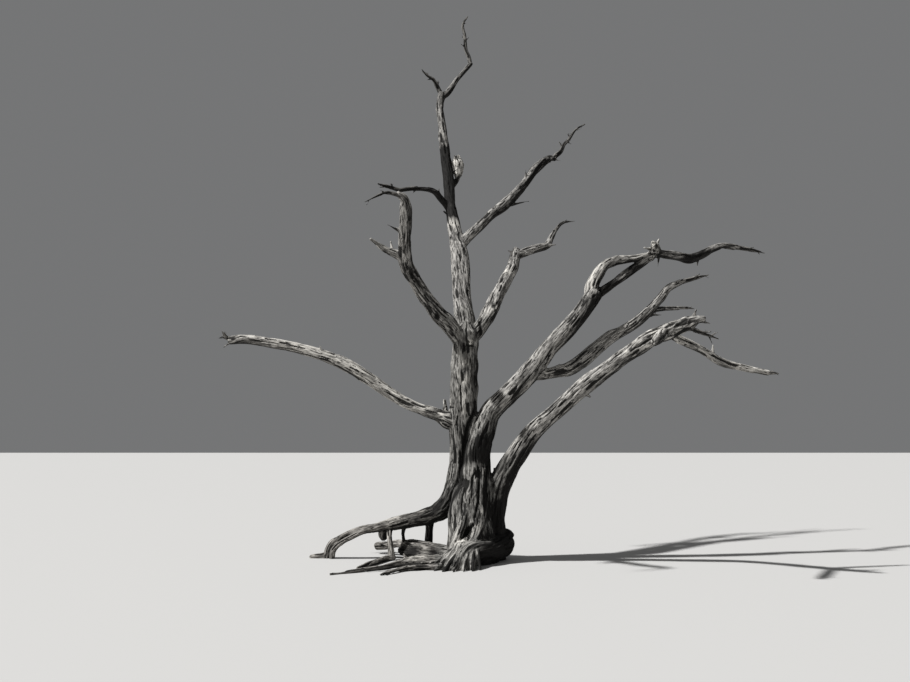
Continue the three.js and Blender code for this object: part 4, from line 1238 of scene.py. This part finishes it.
# %% [markdown]
# ## Cutting the skin into pieces
# One skin of the whole tree is too large to keep as one piece. A boolean with a block would cut it too, but
# slowly, and once for each side of a cut. A bisect of the few faces round it keeps both sides and is quick.
# Each cut goes straight through a plain stretch of a limb, away from the forks, and both sides are closed
# with a face, so every piece is a whole closed body, as if sawn. The first cut is the flat one at the foot.

# %% How to saw
CUT_REACH = 1.7  # radii of the limb round the cut in which faces are cut
CUT_HALF = 3  # squares of the skin on each side of the cut in which faces are cut


def cut_across(name, share):
    """The place, direction and reach of a cut across a limb."""
    line = line_of(NODE_ROUTES[name][0])
    length, along, _, _ = frames_of(line)
    at = int(np.searchsorted(length, share * length[-1]))
    return line[at, :3], along[at], CUT_REACH * line[at, 3]


def sawn(thing, place, along, reach):
    """Cuts the faces within reach of a place by a plane and parts the two sides."""
    mesh = thing.data
    away = points_of(thing) - place
    close = np.abs(away @ np.array(along)) < CUT_HALF * SKIN_VOXEL
    near = (np.linalg.norm(away, axis=1) < reach) & close
    loops = np.empty(len(mesh.loops), int)
    mesh.loops.foreach_get("vertex_index", loops)
    starts = np.empty(len(mesh.polygons), int)
    mesh.polygons.foreach_get("loop_start", starts)
    mesh.vertices.foreach_set("select", np.zeros(len(mesh.vertices), bool))
    mesh.edges.foreach_set("select", np.zeros(len(mesh.edges), bool))
    mesh.polygons.foreach_set("select", near[loops[starts]])
    bpy.ops.object.mode_set(mode="EDIT")
    bpy.ops.mesh.bisect(plane_co=place, plane_no=along)
    bpy.ops.mesh.edge_split(type="EDGE")
    bpy.ops.object.mode_set(mode="OBJECT")


print("a cut takes in the faces within", round(1000 * CUT_HALF * SKIN_VOXEL), "mm of its plane")

# %% [markdown]
# ## Where the tree is sawn
# A cut in a fork would go through two limbs at once, so each one is a little way up a limb. The roots are
# all cut by one plane, and the trunk by a level one, above its broad foot.

# %% Saw cuts
GROUND = 0.0001  # metres; what lies this near under a cut is left standing on it
CRUMB_FACES = 300  # a smaller part is a crumb of the cut at the ground
# Each is a place, a direction and a reach in metres
ALL_ROOTS_CUT = ((-0.62, 0, 0), (1, 0, 0), 0.9)
TRUNK_CUT = ((0, 0, 1.06), (0, 0, 1), 0.9)
LIMB_CUTS = {  # the share of its length where each limb is sawn
    "left_long_bough": 0.12, "middle_stem": 0.24, "right_stem": 0.12, "leader": 0.1,
    "left_upper_bough": 0.16, "right_upper_bough": 0.16, "side_bough": 0.22,
}

chosen(skin)
bpy.ops.object.mode_set(mode="EDIT")
bpy.ops.mesh.select_mode(type="FACE")
bpy.ops.mesh.select_all(action="SELECT")
bpy.ops.mesh.bisect(plane_co=(0, 0, GROUND), plane_no=(0, 0, 1), clear_inner=True)
bpy.ops.object.mode_set(mode="OBJECT")
for cut in (ALL_ROOTS_CUT, TRUNK_CUT, *(cut_across(*item) for item in LIMB_CUTS.items())):
    sawn(skin, *cut)
bpy.ops.object.mode_set(mode="EDIT")
bpy.ops.mesh.select_all(action="SELECT")
bpy.ops.mesh.fill_holes(sides=0)
bpy.ops.mesh.select_all(action="SELECT")
bpy.ops.mesh.separate(type="LOOSE")
bpy.ops.object.mode_set(mode="OBJECT")
parts = []
for part in list(bpy.context.selected_objects):
    if len(part.data.polygons) < CRUMB_FACES:
        bpy.data.objects.remove(part)
    else:
        parts.append(part)
print("parts of the skin:", len(parts))

# %% [markdown]
# ## What each piece stands for
# Each piece takes the place of some solids. A list by hand would do, but it would have to change with every
# cut. Here each part of the skin says which limbs it holds, by the attribute that was kept on its points. It
# stands for every limb that it holds much of, and the trunk, sawn above its foot, has two pieces.

# %% The solids that each piece stands for
HELD_SHARE = 0.3  # of a limb's points


def limbs_in(part):
    """How many points of the part lie on each node."""
    values = np.empty(len(part.data.vertices))
    part.data.attributes["limb"].data.foreach_get("value", values)
    held = {}
    for index, count in zip(*np.unique(np.round(values).astype(int), return_counts=True)):
        name = LIMBS[index]["name"]
        held[name] = held.get(name, 0) + int(count)
    return held


held_by = {part: limbs_in(part) for part in parts}
totals = {name: sum(held.get(name, 0) for held in held_by.values()) for name in NODE_ROUTES}
stands_for = {}
for part, held in held_by.items():
    most_first = sorted(held, key=held.get, reverse=True)
    stands_for[part] = [name for name in most_first if held[name] > HELD_SHARE * totals[name]]
    print(part.name, len(part.data.polygons), stands_for[part])

# %% [markdown]
# ## Colours and nodes
# A colour is picked as a hex code, as painters on a screen do, but light adds up only in linear values, so
# one function turns every code to those. Nodes could be wired by hand in the shader editor. Here one
# function adds any node with its settings, its values and its links, so that a material reads top down.

# %% A colour and a node
def linear(code):
    """A colour written as an sRGB hex code, as the linear values that the shader needs."""
    shares = [int(code[at : at + 2], 16) / 255 for at in (1, 3, 5)]
    return (*(c / 12.92 if c <= 0.04045 else ((c + 0.055) / 1.055) ** 2.4 for c in shares), 1)


def add(material, kind, settings=None, **inputs):
    """Adds a node with its settings, and its inputs as values or links."""
    made = material.node_tree.nodes.new("ShaderNode" + kind)
    for name, value in (settings or {}).items():
        setattr(made, name, value)
    for name, value in inputs.items():
        socket = made.inputs[int(name[1:])] if name[1:].isdigit() else made.inputs[name.replace("_", " ")]
        if isinstance(value, bpy.types.NodeSocket):
            material.node_tree.links.new(value, socket)
        else:
            socket.default_value = value
    return made


print("the mid grey #808080 as a linear value:", round(linear("#808080")[0], 3))

# %% [markdown]
# ## Weathered wood without bark
# Dead wood in a dry place loses its brown first: sun and wind leave a silver grey skin over a darker body,
# with painted shade in every crack and pale wood where a piece broke off. A picture of wood wrapped round
# the limbs would stretch and show seams at the forks. Layers of noise that is drawn out along the grain do
# neither: silver fibres, pale worn places with painted light, stains with painted shade, dark flecks and
# painted shade in the hollows, one over another.

# %% Barkless wood
# Metres across, and times longer along the grain. Real fibres are under a millimetre wide and real flecks
# of dirt a few, and these are drawn as coarse as they need to be to show in the picture.
FIBRE_WIDTH, FIBRE_STRETCH = 0.016, 7
FLECK_WIDTH, FLECK_STRETCH = 0.02, 4
STAIN_WIDTH, STAIN_STRETCH = 0.07, 5
NOISE_DETAIL, NOISE_ROUGHNESS = 5.0, 0.6
# Where each layer begins and is full, of its noise or attribute, and how strong it gets
SILVER_LAYER = (0.42, 0.58, 1.0)
# The worn layer carries painted light on the side that faces the lamp
WORN_AND_LIT_LAYER = (0.1, 0.42, 1.0)
# The soaked layer carries painted shade and shadow besides the stains
SOAKED_AND_SHADED_LAYER = (0.56, 0.95, 0.97)
FLECK_LAYER = (0.54, 0.63, 1.0)
# The hollow layer is painted shade in cracks, creases, crevices, pits and holes
HOLLOW_SHADE_LAYER = (0.1, 0.7, 0.95)
STAIN_AND_SHADE_SOAK = 0.6  # what the stain and the painted shade add to the soaked layer's noise
FIBRE_RELIEF, FIBRE_HEIGHT = 0.8, 0.006  # the bump's strength, and its height in metres
DRY_SHEEN = 0.15  # dusty wood without bark hardly shines


def streaks(material, grain, width, stretch):
    """Noise drawn out along the grain."""
    scale = (1 / width, 1 / width, 1 / (width * stretch))
    at = add(material, "Mapping", Vector=grain, Scale=scale).outputs[0]
    wave = add(material, "TexNoise", Vector=at, Scale=1.0, Detail=NOISE_DETAIL, Roughness=NOISE_ROUGHNESS)
    return wave.outputs["Fac"]


def weathered_wood(name, colours, roughness):
    """Barkless wood. Its four colours are its dirt and painted shade, its body, its silver fibres and its
    pale places from wear and painted light.
    """
    dark, body, silver, pale = map(linear, colours)
    material = bpy.data.materials.new(name)
    material.use_nodes = True
    material.node_tree.nodes.clear()
    grain = add(material, "Attribute", {"attribute_name": "grain"}).outputs["Vector"]
    hollow_shade, bleach_and_light, stain_and_shade = (
        add(material, "Attribute", {"attribute_name": kept}).outputs["Fac"]
        for kept in ("hollow_shade", "bleached", "stained_and_shaded")
    )
    fibres = streaks(material, grain, FIBRE_WIDTH, FIBRE_STRETCH)
    blotches = streaks(material, grain, STAIN_WIDTH, STAIN_STRETCH)
    flecks = streaks(material, grain, FLECK_WIDTH, FLECK_STRETCH)
    # The worn places carry painted light, and the soaked ones painted shade
    worn = add(material, "Math", {"operation": "MULTIPLY"}, _0=bleach_and_light, _1=fibres)
    soaked_and_shaded = add(material, "Math", {"operation": "MULTIPLY_ADD"}, _0=stain_and_shade, _1=STAIN_AND_SHADE_SOAK, _2=blotches)
    base = body
    for amount, (begins, full, strongest), colour in [
        (fibres, SILVER_LAYER, silver), (worn.outputs[0], WORN_AND_LIT_LAYER, pale),
        (soaked_and_shaded.outputs[0], SOAKED_AND_SHADED_LAYER, dark), (flecks, FLECK_LAYER, dark), (hollow_shade, HOLLOW_SHADE_LAYER, dark),
    ]:
        share = add(material, "MapRange", Value=amount, From_Min=begins, From_Max=full, To_Max=strongest)
        both = add(material, "Mix", {"data_type": "RGBA"}, _0=share.outputs[0], _6=base, _7=colour)
        base = both.outputs[2]
    bump = add(material, "Bump", Height=fibres, Strength=FIBRE_RELIEF, Distance=FIBRE_HEIGHT)
    shader = add(
        material, "BsdfPrincipled", Base_Color=base, Roughness=roughness, Normal=bump.outputs[0],
        Specular_IOR_Level=DRY_SHEEN,
    )
    add(material, "OutputMaterial", Surface=shader.outputs[0])
    return material


print("fibres as wide as", round(1000 * FIBRE_WIDTH / pixel, 1), "pixels at the trunk")

# %% [markdown]
# ## The woods of this tree
# It is all one tree's wood, but it has weathered differently from place to place. One material with more
# attributes could say that, but five named ones are easier to tell apart and to change. They share their
# layers and differ in their four colours and in how rough they are.

# %% Five woods
WOODS = {
    # Heartwood worn to deep flutes: painted shade nearly black between them and silver on their crests
    "trunk_wood": weathered_wood(
        "dark_weathered_trunk_wood", ("#100f0e", "#5a5855", "#9f9d98", "#dedad2"), 0.88
    ),
    # Rounder limbs higher up, more in the sun: an even silver grey with painted shade in the splits along it
    "bough_wood": weathered_wood(
        "grey_weathered_bough_wood", ("#11100f", "#6c6a67", "#b3b0ab", "#e0dcd4"), 0.86
    ),
    # Split and broken wood, the palest: bone grey, dark only with the painted shade in its cracks
    "pale_wood": weathered_wood("bleached_split_wood", ("#151413", "#74716e", "#bebbb5", "#e6e2d9"), 0.84),
    # Roots rubbed by the wind, with the least shine of all: painted light on their tops and painted shade
    # low down
    "root_wood": weathered_wood("worn_root_wood", ("#121110", "#605d59", "#a8a49e", "#d8d4ca"), 0.9),
    # Thin dry twigs, painted darker than their wood is, as painted shade: each is mostly edge
    "twigs": weathered_wood("dry_twig_wood", ("#131211", "#585653", "#94918c", "#d2cec6"), 0.86),
}
print("woods:", list(WOODS))

# %% [markdown]
# ## Finishing the pieces
# Smooth shading hides the small squares of the skin, but smooth all over it would round the sawn faces,
# which are flat. So it is smooth by angle, and breaks at edges as sharp as theirs. Each piece then gets its
# wood, and the solids that it takes the place of are hidden.

# %% Materials on the pieces
SHARP_ANGLE = 70  # degrees
SLOT_OF = {item["node"]: item["material_slot"] for item in frame["record"]["subparts"]}
for part in sorted(parts, key=lambda part: part.bound_box[0][2]):
    name = stands_for[part][0] + "_wood"
    part.name = name + "_upper" if name in bpy.data.objects else name
stands_for.update({piece: [name] for name, piece in twig_pieces.items()})
for part in stands_for:
    part.data.name = part.name
    slot = SLOT_OF[stands_for[part][0]]
    part.data.materials.clear()
    part.data.materials.append(WOODS[slot])
    chosen(part)
    bpy.ops.object.shade_smooth_by_angle(angle=math.radians(SHARP_ANGLE))
    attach(part, "root")
    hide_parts(*stands_for[part])
replaced = {name for names in stands_for.values() for name in names}
print("pieces:", len(stands_for), "solids replaced:", len(replaced))

# %% [markdown]
# ## The floor
# A plain pale floor carries the tree. A curved backdrop would hide its far edge, but that edge stands at
# the camera's own height in the picture, which is where it belongs.

# %% The floor
FLOOR_HALF = 60  # metres
FLOOR_GREY, FLOOR_ROUGHNESS = "#b8b7b5", 0.9  # matt, so that no lamp shows in it
bpy.ops.object.select_all(action="DESELECT")
bpy.ops.mesh.primitive_plane_add(size=2 * FLOOR_HALF)
floor = bpy.context.object
floor.name = "floor"
plain = bpy.data.materials.new("plain_pale_floor")
plain.use_nodes = True
plain.node_tree.nodes["Principled BSDF"].inputs["Base Color"].default_value = linear(FLOOR_GREY)
plain.node_tree.nodes["Principled BSDF"].inputs["Roughness"].default_value = FLOOR_ROUGHNESS
floor.data.materials.append(plain)
print("floor:", 2 * FLOOR_HALF, "m wide")

# %% [markdown]
# ## The light
# One lamp from the upper left turns the limbs' right sides dark, as a low sun does. An area lamp would have
# to stand far off to light the whole height evenly, and a sun lamp is even by itself. It is a little wider
# than the sun, so that its shadows have soft edges, and a pale surround fills the shade.

# %% The light
KEY_FROM = Vector((-0.72, -0.15, 1.0))
KEY_STRENGTH, KEY_WIDTH = 5.2, 2  # watts on a square metre, and degrees
SURROUND_GREY, SURROUND_STRENGTH = "#d0d1d2", 0.28
bpy.ops.object.light_add(type="SUN", rotation=KEY_FROM.to_track_quat("Z", "Y").to_euler())
key = bpy.context.object.data
key.energy = KEY_STRENGTH
key.angle = math.radians(KEY_WIDTH)
world = bpy.data.worlds.new("pale_surround")
world.use_nodes = True
world.node_tree.nodes["Background"].inputs["Color"].default_value = linear(SURROUND_GREY)
world.node_tree.nodes["Background"].inputs["Strength"].default_value = SURROUND_STRENGTH
bpy.context.scene.world = world
bpy.context.scene.view_settings.view_transform = "Standard"
print("lamp:", KEY_STRENGTH, "surround:", SURROUND_STRENGTH)

# %% [markdown]
# ## The end
# The scene is built.

# %% The end
print("the scene is built")
